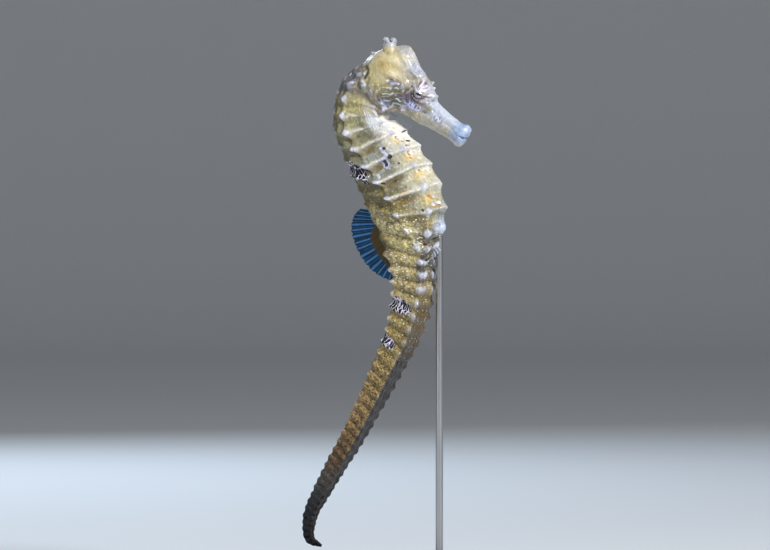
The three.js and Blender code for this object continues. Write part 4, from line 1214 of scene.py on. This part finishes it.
for name, values in {
    "dark": dark,
    "granular": granular,
    "striped": striped,
    "lined": np.where(on_head, 0.35 * blob((a, u), (-7.6, -3.4), (4.5, 3.2)), chest),
    "phase": np.where(on_head, 0.72 * u - 0.69 * a, mark["round"]),
    "spotted": np.where(on_head, 0.3, 0.7 * spotted),
    "flecks": np.where(on_head, np.minimum(1, 0.8 * flecks), 0),
    "thread_gap": np.where(on_cheek > 0.5, thread_gap, 9),
    "ray_share": ray_share,
    "wrinkled": step_up(ring, 15, 20) * of_body * (1 - 0.75 * shaded_belly_face),
    "golden": np.where(on_head, golden_head, golden_body),
    "coarse": np.where(on_head, 1 - 0.85 * on_snout, 1),
    **{name: gap_to(marks) for name, _, marks in BODY_MARKS},
}.items():
    keep(name, "FLOAT", "value", values)
keep("tint", "FLOAT_COLOR", "color", np.concatenate([tint, np.ones((len(tint), 1))], axis=1))
keep("lay", "FLOAT_VECTOR", "vector", np.where(on_head[:, None], head_place + [0, 0, 40], body_lay))
keep("eyeward", "FLOAT_VECTOR", "vector", np.stack([np.cos(eye_turn), np.sin(eye_turn), from_eye], axis=-1))


def mottled(finish, colour, spot, middling):
    """Ochre clouds, and darker and lighter patches."""
    golden = finish.attribute("golden")
    clouds = finish.mask(finish.noise(spot, 0.42, 5.0), 0.56, 0.78)
    colour = finish.over(colour, (0.44, 0.33, 0.11), clouds, golden, 0.5)
    uneven = finish.spread(golden, 0.32, 0.8)
    shaded = finish.times(colour, (0.36, 0.27, 0.20))
    colour = finish.over(colour, shaded, finish.mask(middling, 0.52, 0.78), uneven)
    lit = finish.times(colour, (1.8, 1.8, 1.95))
    return finish.over(colour, lit, finish.mask(middling, 0.46, 0.30), uneven)


def beaded(finish, colour, lay, middling):
    """Beads in rows along the body: gold beads of pigment, white beads as painted glints, and dark brown
    between.
    """
    granular = finish.attribute("granular")
    rows = finish.stretched(lay, (1.75, 1.25, 0))
    gap = finish.cells(rows, random=0.55)
    kind = finish.vector("DOT_PRODUCT", finish.cells(rows, output="Color", random=0.55), (1, 0, 0))
    bead = finish.product(finish.mask(gap, 0.40, 0.26), granular)
    between = finish.product(finish.mask(gap, 0.36, 0.56), granular, finish.mask(middling, 0.44, 0.60))
    colour = finish.over(colour, (0.075, 0.036, 0.012), between, 0.55)
    # white beads: painted glints on the granules
    colour = finish.over(colour, (0.92, 0.86, 0.70), bead, finish.mask(kind, 0.66, 0.72))
    colour = finish.over(colour, (0.52, 0.32, 0.07), bead, finish.mask(kind, 0.38, 0.30), 0.8)
    return colour, finish.product(finish.mask(gap, 0.55, 0.1), granular)


def creased(finish, colour, lay, spot):
    """Fine crossed wrinkles of the tail, with painted shade in their grooves and painted highlight on their
    tops.
    """
    wrinkled = finish.attribute("wrinkled")
    swirl = finish.noise(spot, 0.8, 2.0, "Color")
    bent = finish.vector("ADD", finish.stretched(lay, (3.4, 1.5, 0)), swirl)
    wrinkles = finish.noise(bent, 1.0, 5.0)
    sunk = finish.product(finish.mask(wrinkles, 0.52, 0.38), wrinkled)
    raised = finish.product(finish.mask(wrinkles, 0.54, 0.68), wrinkled)
    # painted shade in the grooves, then painted highlight on the tops
    colour = finish.mix(colour, finish.times(colour, (0.22, 0.19, 0.17)), sunk)
    colour = finish.mix(colour, finish.times(colour, (1.7, 1.7, 1.8)), raised)
    return colour, finish.product(wrinkles, wrinkled)


def streaked(finish, colour, lay):
    """Fine broken lines along the plates between the crests."""
    striped = finish.attribute("striped")
    strokes = finish.noise(finish.stretched(lay, (0.45, 3.6, 1.0)), 1.0)
    colour = finish.over(colour, (0.23, 0.15, 0.045), finish.mask(strokes, 0.50, 0.62), striped, 0.7)
    return colour, finish.product(strokes, striped)


def lined(finish, colour, lay):
    """Thin pale wavy lines of the chest and the cheek."""
    sway = finish.spread(finish.noise(lay, 0.35, 2.0), -3.5, 3.5)
    wave = finish.maths("SINE", finish.maths("ADD", finish.product(finish.attribute("phase"), 5.0), sway))
    broken = finish.mask(finish.noise(lay, 0.5, 1.0), 0.42, 0.55)
    return finish.over(
        colour, (0.92, 0.90, 0.95), finish.mask(wave, 0.78, 0.95), finish.attribute("lined"), broken)


def dotted(finish, colour, lay):
    """Orange and brown spots of the belly's side."""
    dots = finish.stretched(lay, (0.42, 0.5, 0.5))
    kind = finish.vector("DOT_PRODUCT", finish.cells(dots, output="Color"), (1, 0, 0))
    dot_colour = finish.mix((0.09, 0.03, 0.015), (0.72, 0.26, 0.02), finish.mask(kind, 0.6, 0.7))
    return finish.over(
        colour, dot_colour, finish.mask(finish.cells(dots), 0.17, 0.09), finish.mask(kind, 0.35, 0.45),
        finish.attribute("spotted"), 0.9)


def marked(finish, colour, lay, spot):
    """The larger marks of the body: ragged at their edges, uneven in their colour."""
    torn = finish.spread(finish.noise(spot, 2.4), -0.75, 0.75)
    patchy = finish.mask(finish.noise(finish.stretched(lay, (1.3, 3.4, 1.0)), 1.0, 2.0), 0.42, 0.62)
    for name, mark_colour, _ in BODY_MARKS:
        gap = finish.maths("ADD", finish.attribute(name), torn)
        shade = finish.mix([0.55 * value for value in mark_colour], mark_colour, patchy)
        colour = finish.over(colour, shade, finish.mask(gap, 1.25, 0.75), 0.95)
    return colour


def flecked(finish, colour, lay):
    """Lilac and violet flecks under the eye and across the snout."""
    patches = finish.cells(finish.stretched(lay, (2.6, 0.7, 1.0)), output="Color")
    kind = finish.vector("DOT_PRODUCT", patches, (0, 1, 0))
    flecks = finish.attribute("flecks")
    colour = finish.over(colour, (0.12, 0.07, 0.15), finish.mask(kind, 0.42, 0.34), flecks)
    return finish.over(colour, (0.60, 0.64, 0.92), finish.mask(kind, 0.58, 0.64), flecks)


def rayed(finish, colour):
    """Streaks that run out from the eye over the hood and the lids."""
    rays = finish.noise(finish.stretched(finish.attribute("eyeward", "Vector"), (5.0, 5.0, 0.35)), 1.0)
    share = finish.attribute("ray_share")
    colour = finish.over(colour, (0.13, 0.07, 0.085), finish.mask(rays, 0.47, 0.36), share)
    return finish.over(colour, (0.86, 0.84, 0.95), finish.mask(rays, 0.58, 0.70), share, 0.6)


def netted(finish, colour, lay, spot):
    """The saddles: violet black with pale threads that run mostly along the body."""
    ragged = finish.spread(finish.noise(lay, 0.9), -0.45, 0.45)
    dark = finish.mask(finish.maths("ADD", finish.attribute("dark"), ragged), 0.45, 0.58)
    swirl = finish.scaled(finish.noise(spot, 1.2, 2.0, "Color"), 0.4)
    warped = finish.vector("ADD", finish.stretched(lay, (0.50, 1.4, 1.0)), swirl)
    thickness = finish.spread(finish.noise(spot, 1.2, 2.0), -0.10, 0.22)
    net = finish.maths("SUBTRACT", finish.cells(warped, "DISTANCE_TO_EDGE"), thickness)
    thread = finish.mask(net, 0.02, -0.02)
    saddle = finish.mix((0.005, 0.002, 0.005), (0.90, 0.84, 0.97), thread)
    return finish.mix(colour, saddle, dark), finish.product(thread, dark)


def flesh():
    finish = Finish("flesh")
    lay = finish.attribute("lay", "Vector")
    spot = finish.place()
    middling = finish.noise(spot, 1.2, 5.0)
    colour = mottled(finish, finish.attribute("tint", "Color"), spot, middling)
    colour, beads = beaded(finish, colour, lay, middling)
    colour, wrinkles = creased(finish, colour, lay, spot)
    colour, strokes = streaked(finish, colour, lay)
    colour = lined(finish, colour, lay)
    colour = dotted(finish, colour, lay)
    colour = marked(finish, colour, lay, spot)
    colour = flecked(finish, colour, lay)
    colour = rayed(finish, colour)
    # Raised pale threads of the cheek.
    thread_gap = finish.attribute("thread_gap")
    faint = finish.spread(finish.noise(spot, 1.2, 2.0), 0.2, 1.1)
    colour = finish.over(colour, (0.66, 0.72, 0.74), finish.mask(thread_gap, 0.24, 0.12), faint)
    colour, threads = netted(finish, colour, lay, spot)
    coarse = finish.attribute("coarse")
    normal = None
    for height, distance in (  # metres, from the lumps of the skin to the finest threads
        (finish.product(finish.noise(spot, 0.9), coarse), 0.00030),
        (finish.product(finish.noise(spot, 3.0), coarse), 0.00007),
        (beads, 0.00016), (wrinkles, 0.00035), (strokes, 0.00010), (threads, 0.00007),
        (finish.mask(thread_gap, 0.35, 0.05), 0.00010),
    ):
        normal = finish.bump(height, distance, normal)
    finish.set(
        Base_Color=colour, Roughness=finish.spread(finish.noise(spot, 1.1), 0.30, 0.56), IOR=1.40,
        Subsurface_Weight=0.10, Subsurface_Scale=0.0010, Subsurface_Radius=(1.0, 0.6, 0.35),
        Coat_Weight=0.25, Coat_Roughness=0.12, Normal=normal)
    return finish.material


skin.data.materials.append(flesh())
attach(skin, "root")
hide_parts("head", "snout", "coronet", "neck", "trunk_upper", "trunk_middle", "trunk_lower",
            "tail_1", "tail_2", "tail_3", "tail_4", "tail_5")

# ---------------------------------------------------------------- eyes
# Each eye is a ball deep in its socket, with a clear dome over the iris: a dark slit of a pupil
# that slants down the face, and a grey and bronze iris with spokes. The lids hold it.

CORNEA = {"half_angle": math.radians(42), "rise": 0.16}
SLIT_TILT = math.radians(8)  # of the pupil's long way, from the snout's own line
SLIT_HALVES = (0.95, 0.34)  # its half length and half height, in millimetres
GAZE = Vector((0.22, 0.16, 0.96)).normalized()  # along, up and out: a little forward and up


def eyeball(name, side):
    """A ball whose pole looks out sideways, with the dome of the cornea raised on it."""
    deselect_all()
    bpy.ops.mesh.primitive_uv_sphere_add(segments=96, ring_count=64, radius=1, calc_uvs=False)
    eye = bpy.context.object
    eye.name = name
    ball = places_of(eye.data) * MM
    off_pole = np.arccos(np.clip(ball[:, 2], -1, 1))
    dome = CORNEA["rise"] * (1 - step_up(off_pole, 0, CORNEA["half_angle"]))
    ball *= (EYE["radius"] + dome)[:, None]
    along, up = ball[:, 0], ball[:, 1]
    look = np.stack([
        along * math.cos(SLIT_TILT) + up * math.sin(SLIT_TILT),
        up * math.cos(SLIT_TILT) - along * math.sin(SLIT_TILT),
        ball[:, 2],
    ], axis=-1)
    aimed = ball @ np.array(Vector((0, 0, 1)).rotation_difference(GAZE).to_matrix()).T
    set_in = np.stack([aimed[:, 0], side * (EYE["out"] + aimed[:, 2]), aimed[:, 1]], axis=-1)
    eye.data.vertices.foreach_set("co", (from_head(set_in) * MM).reshape(-1))
    eye.data.attributes.new("look", "FLOAT_VECTOR", "POINT").data.foreach_set("vector", look.reshape(-1))
    face_outward(eye)
    return eye


def wet_eye():
    finish = Finish("wet_eye")
    look = finish.attribute("look", "Vector")
    parts = finish.node("ShaderNodeSeparateXYZ", {0: look})
    x, y = parts.outputs["X"], parts.outputs["Y"]
    radius = finish.vector("LENGTH", finish.stretched(look, (1, 1, 0)), (0, 0, 0))
    turn = finish.product(finish.maths("ARCTAN2", y, x), 4.5)
    spokes = finish.node("ShaderNodeCombineXYZ", {"X": turn, "Y": finish.product(radius, 0.8)})
    streak = finish.noise(spokes.outputs[0], 2.2, 4.0)
    iris = finish.mix((0.16, 0.12, 0.15), (0.62, 0.56, 0.64), finish.mask(streak, 0.36, 0.58))
    iris = finish.over(iris, (0.78, 0.70, 0.78), finish.mask(y, 0.25, 0.8))
    rim = finish.product(finish.mask(radius, 0.95, 1.25), finish.mask(y, -0.1, -0.6))
    iris = finish.over(iris, (0.030, 0.024, 0.030), rim)
    long_way, short_way = (
        finish.maths("POWER", finish.maths("DIVIDE", value, half), 2.0)
        for value, half in zip((x, y), SLIT_HALVES)
    )
    pupil = finish.mask(finish.maths("ADD", long_way, short_way), 1.08, 0.82)
    colour = finish.over(iris, (0.003, 0.003, 0.004), pupil)
    finish.set(Base_Color=colour, Roughness=0.12, IOR=1.38, Coat_Weight=1.0, Coat_Roughness=0.02,
               Normal=finish.bump(streak, 0.00002))
    return finish.material


eye_finish = wet_eye()
for name, side in (("eye_left", 1), ("eye_right", -1)):
    eye = eyeball(name + "_ball", side)
    eye.data.materials.append(eye_finish)
    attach(eye, "root")
    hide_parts(name)

# ---------------------------------------------------------------- fins
# Thin sheets of clear skin held open by soft rays that stand up from both faces. The fin of the
# back is pleated, slate blue; the small ones behind the cheeks and at the vent are almost clear.


def fin(name, roots, ways, lengths, out, rays, sheet, ray, pleat, scallop, steps=24, per_ray=12):
    """A closed sheet from rows of roots: roots, ways and lengths are read along its base (0 to 1)."""
    share = np.linspace(0, 1, (rays - 1) * per_ray + 1)
    unequal = share + 0.009 * np.sin(13 * share + 1) * np.sin(np.pi * share) + 0.004 * np.sin(41 * share)
    on_ray = np.cos(2 * np.pi * unequal * (rays - 1)) * 0.5 + 0.5
    length = lengths(share) * (1 - scallop * (1 - on_ray) ** 2)
    t = np.linspace(0, 1, steps + 1)[None, :]
    middle = roots(share)[:, None] + ways(share)[:, None] * (length[:, None] * t)[..., None]
    fold = np.cos(4 * np.pi * unequal * (rays - 1)) * 0.5 + 0.5  # on each ray and once between
    strength = 0.75 + 0.35 * np.sin(17 * share + 2) * np.sin(29 * share)
    wave = ((on_ray - 0.5) * 0.7 + (fold - 0.5) * 0.4)[:, None] * (strength * pleat)[:, None]
    wave = wave * step_up(t, 0.05, 0.5)
    wave = wave + 0.5 * pleat * np.sin(5.0 * t + 9.0 * share[:, None]) * step_up(t, 0.2, 1.0)
    middle = middle + out * wave[..., None]
    thick = (sheet + (ray - sheet) * on_ray[:, None] ** 6) * (1 - 0.6 * t**2)
    front = middle + out * (thick / 2)[..., None]
    behind = middle - out * (thick / 2)[..., None]
    rows, columns = front.shape[:2]
    loops = np.concatenate([front, behind[:, ::-1]], axis=1)
    here = np.arange(rows * 2 * columns).reshape(rows, 2 * columns)
    after = np.roll(here, -1, axis=1)
    quads = np.stack([here[:-1], here[1:], after[1:], after[:-1]], axis=-1).reshape(-1, 4).tolist()
    for row in (here[0], here[-1]):
        first, last = row[:columns], row[columns:][::-1]
        quads += np.stack([first[:-1], first[1:], last[1:], last[:-1]], axis=-1).tolist()
    mesh = bpy.data.meshes.new(name)
    mesh.from_pydata((loops.reshape(-1, 3) * MM).tolist(), [], quads)
    pattern = np.stack([share[:, None] + 0 * t, t + 0 * share[:, None], on_ray[:, None] + 0 * t], axis=-1)
    pattern = np.concatenate([pattern, pattern[:, ::-1]], axis=1).reshape(-1)
    mesh.attributes.new("pattern", "FLOAT_VECTOR", "POINT").data.foreach_set("vector", pattern)
    piece = bpy.data.objects.new(name, mesh)
    bpy.context.collection.objects.link(piece)
    face_outward(piece)
    return piece


def fin_skin(name, deep, bright, ray_colour, root_colour, root_share, clear):
    """The sheet lit between its rays, the jointed rays over it, and the colour of its root."""
    finish = Finish(name)
    pattern = finish.attribute("pattern", "Vector")
    parts = finish.node("ShaderNodeSeparateXYZ", {0: pattern})
    out, on_ray = parts.outputs["Y"], parts.outputs["Z"]
    spot = finish.place()
    cloudy = finish.noise(spot, 0.6, 4.0)
    between = finish.product(finish.mask(on_ray, 0.20, 0.03), 0.7)
    lit = finish.maths("MAXIMUM", finish.mask(on_ray, 0.35, 0.8), between)
    colour = finish.over(deep, bright, lit, finish.mask(cloudy, 0.25, 0.6))
    streaks = finish.noise(finish.stretched(pattern, (38.0, 2.2, 0.0)), 1.0)
    colour = finish.over(colour, deep, finish.mask(streaks, 0.52, 0.36), 0.75)
    joints = finish.noise(finish.stretched(pattern, (6.0, 34.0, 0.0)), 1.0, 2.0)
    ribs = finish.product(finish.mask(on_ray, 0.72, 0.97), finish.spread(joints, 0.35, 1.2))
    colour = finish.over(colour, ray_colour, ribs, 0.8)
    reach = finish.product(finish.mask(parts.outputs["X"], 0.1, 0.5), root_share)
    past_root = finish.maths("SUBTRACT", out, finish.maths("ADD", reach, finish.spread(cloudy, 0.02, 0.16)))
    colour = finish.mix(root_colour, colour, finish.mask(past_root, 0.0, 0.09))
    finish.set(Base_Color=colour, Roughness=finish.spread(cloudy, 0.40, 0.58), IOR=1.34,
               Normal=finish.bump(finish.noise(spot, 4.0), 0.00004))
    if clear:
        web = finish.product(finish.maths("SUBTRACT", 1.0, ribs), clear)
        finish.set(Alpha=finish.maths("SUBTRACT", 1.0, web))
    return finish.material


def on_middle(at, fore, sink):
    """Points of the middle of the back or the belly, sunk a little under the surface."""
    middle, belly, _, down = body_frame(at)
    offset = (fore * size_of(DEPTH, at) - np.sign(fore) * sink)[:, None]
    points = middle + belly * offset + down * through(LEAN, at)[:, None] * offset
    points[:, 1] = 0
    return points


def way_of(angle):
    angle = np.radians(angle)
    return np.stack([np.cos(angle), 0 * angle, np.sin(angle)], axis=-1)


SIDEWAYS = np.array([0.0, 1.0, 0.0])
DORSAL = {"from": 8.9, "long": 3.1, "rays": 17, "sink": 1}  # from and long in rings
DORSAL_LENGTH = [(0, 4.6), (0.15, 7.8), (0.35, 10), (0.6, 9.2), (0.85, 6.4), (1, 3.2)]
dorsal = fin(
    "dorsal_fin_skin",
    roots=lambda share: on_middle(DORSAL["from"] + DORSAL["long"] * share, -0.45, DORSAL["sink"]),
    ways=lambda share: way_of(172 + 90 * share**1.6),
    lengths=lambda share: DORSAL["sink"] + through(DORSAL_LENGTH, share) * 0.99,
    out=SIDEWAYS, rays=DORSAL["rays"], sheet=0.16, ray=0.45, pleat=0.42, scallop=0.04,
)
# The dark olive root reaches far up the fin: the fin's own olive base, widened as painted shade of the back
# beside it.
dorsal.data.materials.append(fin_skin(
    "slate_fin", deep=(0.001, 0.028, 0.070), bright=(0.002, 0.145, 0.37),
    ray_colour=(0.15, 0.33, 0.68), root_colour=(0.095, 0.062, 0.013), root_share=0.42, clear=0,
))

ANAL = {"at": 10.6, "rays": 4, "length": 2.8, "width": 1.8}
anal = fin(
    "anal_fin_skin",
    roots=lambda share: on_middle(np.full(len(share), ANAL["at"]), 0.5, 0.8)
    + (share[:, None] * 2 - 1) * ANAL["width"] * np.array([0.3, 0, 0.5]),
    ways=lambda share: way_of(-62 + 14 * (2 * share - 1)),
    lengths=lambda share: ANAL["length"] * 0.98 + 0 * share,
    out=SIDEWAYS, rays=ANAL["rays"], sheet=0.14, ray=0.3, pleat=0.08, scallop=0.06,
)
clear_fin = fin_skin(
    "clear_fin", deep=(0.52, 0.62, 0.72), bright=(0.70, 0.78, 0.86),
    ray_colour=(0.94, 0.94, 0.97), root_colour=(0.60, 0.54, 0.40), root_share=0.10, clear=0.82,
)
anal.data.materials.append(clear_fin)

PECTORAL = {"x": -5.7, "y": 5.9, "z": 131.1, "rays": 9, "root": 1.6, "length": 7.6, "tilt": 10}


def pectoral(name, side):
    tilt = math.radians(side * PECTORAL["tilt"])
    c, s = math.cos(tilt), math.sin(tilt)
    turned = np.array([[1, 0, 0], [0, c, s], [0, -s, c]])
    start = np.array([PECTORAL["x"], side * PECTORAL["y"], PECTORAL["z"]])
    return fin(
        name,
        roots=lambda share: start + np.stack([
            PECTORAL["root"] * (2 * share - 1), 0 * share, 0.7 * PECTORAL["root"] * (1 - 2 * share),
        ], axis=-1) @ turned,
        ways=lambda share: way_of(-74 + 40 * share) @ turned,
        lengths=lambda share: PECTORAL["length"] * (0.86 + 0.14 * np.sin(np.pi * share)) * 0.99,
        out=SIDEWAYS @ turned, rays=PECTORAL["rays"], sheet=0.10, ray=0.22, pleat=0.12, scallop=0.05,
    )


pieces = [(dorsal, "dorsal_fin"), (anal, "anal_fin")]
for name, side in (("pectoral_fin_left", 1), ("pectoral_fin_right", -1)):
    piece = pectoral(name + "_skin", side)
    piece.data.materials.append(clear_fin)
    pieces.append((piece, name))
for piece, node in pieces:
    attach(piece, "root")
    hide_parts(node)

# ---------------------------------------------------------------- stand: base
# A small plinth of hardwood, stained nearly black and lacquered, its corners rounded and its top
# edge eased with a fine bevel. The rod is glued into a hole bored in its top.

base_low, base_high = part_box("stand_base")
BASE_CORNER, BASE_EDGE = 0.009, 0.0011
SHARP_EDGES = {"limit_method": "ANGLE", "angle_limit": math.radians(60)}
base_size = base_high - base_low
deselect_all()
bpy.ops.mesh.primitive_cube_add(size=1, location=(base_low + base_high) / 2)
base = bpy.context.object
base.name = "plinth"
base.scale = base_size
own_place(base)
bpy.ops.object.mode_set(mode="EDIT")
edit = bmesh.from_edit_mesh(base.data)
for edge in edit.edges:
    upright = abs(edge.verts[0].co.z - edge.verts[1].co.z) > MM
    edge.select_set(upright)
bmesh.update_edit_mesh(base.data)
bpy.ops.mesh.bevel(offset=BASE_CORNER, segments=20, affect="EDGES")
bpy.ops.object.mode_set(mode="OBJECT")
apply_modifier(base, "BEVEL", width=BASE_EDGE, segments=5, **SHARP_EDGES)
bpy.ops.object.shade_smooth()
apply_modifier(base, "WEIGHTED_NORMAL", keep_sharp=True)


def dark_wood():
    finish = Finish("dark_wood")
    spot = finish.place()
    stretched = finish.stretched(spot, (0.045, 0.55, 0.55))
    grain = finish.noise(stretched, 1.0, 6.0)
    waves = {"Vector": stretched, "Scale": 1.3, "Distortion": 6.0, "Detail": 3.0, "Detail Scale": 1.5}
    rings = finish.node("ShaderNodeTexWave", waves, bands_direction="Y").outputs["Fac"]
    pores = finish.noise(finish.stretched(spot, (0.35, 7.0, 7.0)), 1.0, 2.0)
    colour = finish.mix((0.012, 0.008, 0.006), (0.050, 0.028, 0.017), grain)
    colour = finish.over(colour, (0.075, 0.040, 0.022), rings, 0.35)
    colour = finish.over(colour, (0.006, 0.004, 0.003), finish.mask(pores, 0.60, 0.70))
    normal = finish.bump(pores, 0.00003)
    finish.set(Base_Color=colour, Roughness=finish.spread(grain, 0.42, 0.55), Normal=normal,
               Coat_Weight=0.1, Coat_Roughness=0.25)
    return finish.material


base.data.materials.append(dark_wood())
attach(base, "root")
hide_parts("stand_base")

# ---------------------------------------------------------------- stand: rod
# One straight rod of brushed steel that stands in the base and goes up into the underside of the
# belly, where a pin through the plates would hold the model.

ROD_EDGE = 0.00012
rod_low, rod_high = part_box("stand_rod")
rod_middle = (rod_low + rod_high) / 2
deselect_all()
bpy.ops.mesh.primitive_cylinder_add(
    vertices=64, radius=(rod_high.x - rod_low.x) / 2, depth=rod_high.z - rod_low.z, location=rod_middle)
rod = bpy.context.object
rod.name = "steel_rod"
own_place(rod)
apply_modifier(rod, "BEVEL", width=ROD_EDGE, segments=3, **SHARP_EDGES)
bpy.ops.object.shade_smooth()
apply_modifier(rod, "WEIGHTED_NORMAL", keep_sharp=True)


def brushed_steel():
    finish = Finish("brushed_steel")
    brushed = finish.noise(finish.stretched(finish.place(), (6.0, 6.0, 0.12)), 1.0, 4.0)
    colour = finish.mix((0.42, 0.42, 0.43), (0.62, 0.62, 0.63), brushed)
    finish.set(Base_Color=colour, Metallic=1.0, Roughness=finish.spread(brushed, 0.24, 0.36),
               Normal=finish.bump(brushed, 0.00001))
    return finish.material


rod.data.materials.append(brushed_steel())
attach(rod, "root")
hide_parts("stand_rod")

# ---------------------------------------------------------------- the model's size, and the end

size = {"solids": [list(solids_low), list(solids_high)], "model": [list(corner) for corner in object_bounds()]}
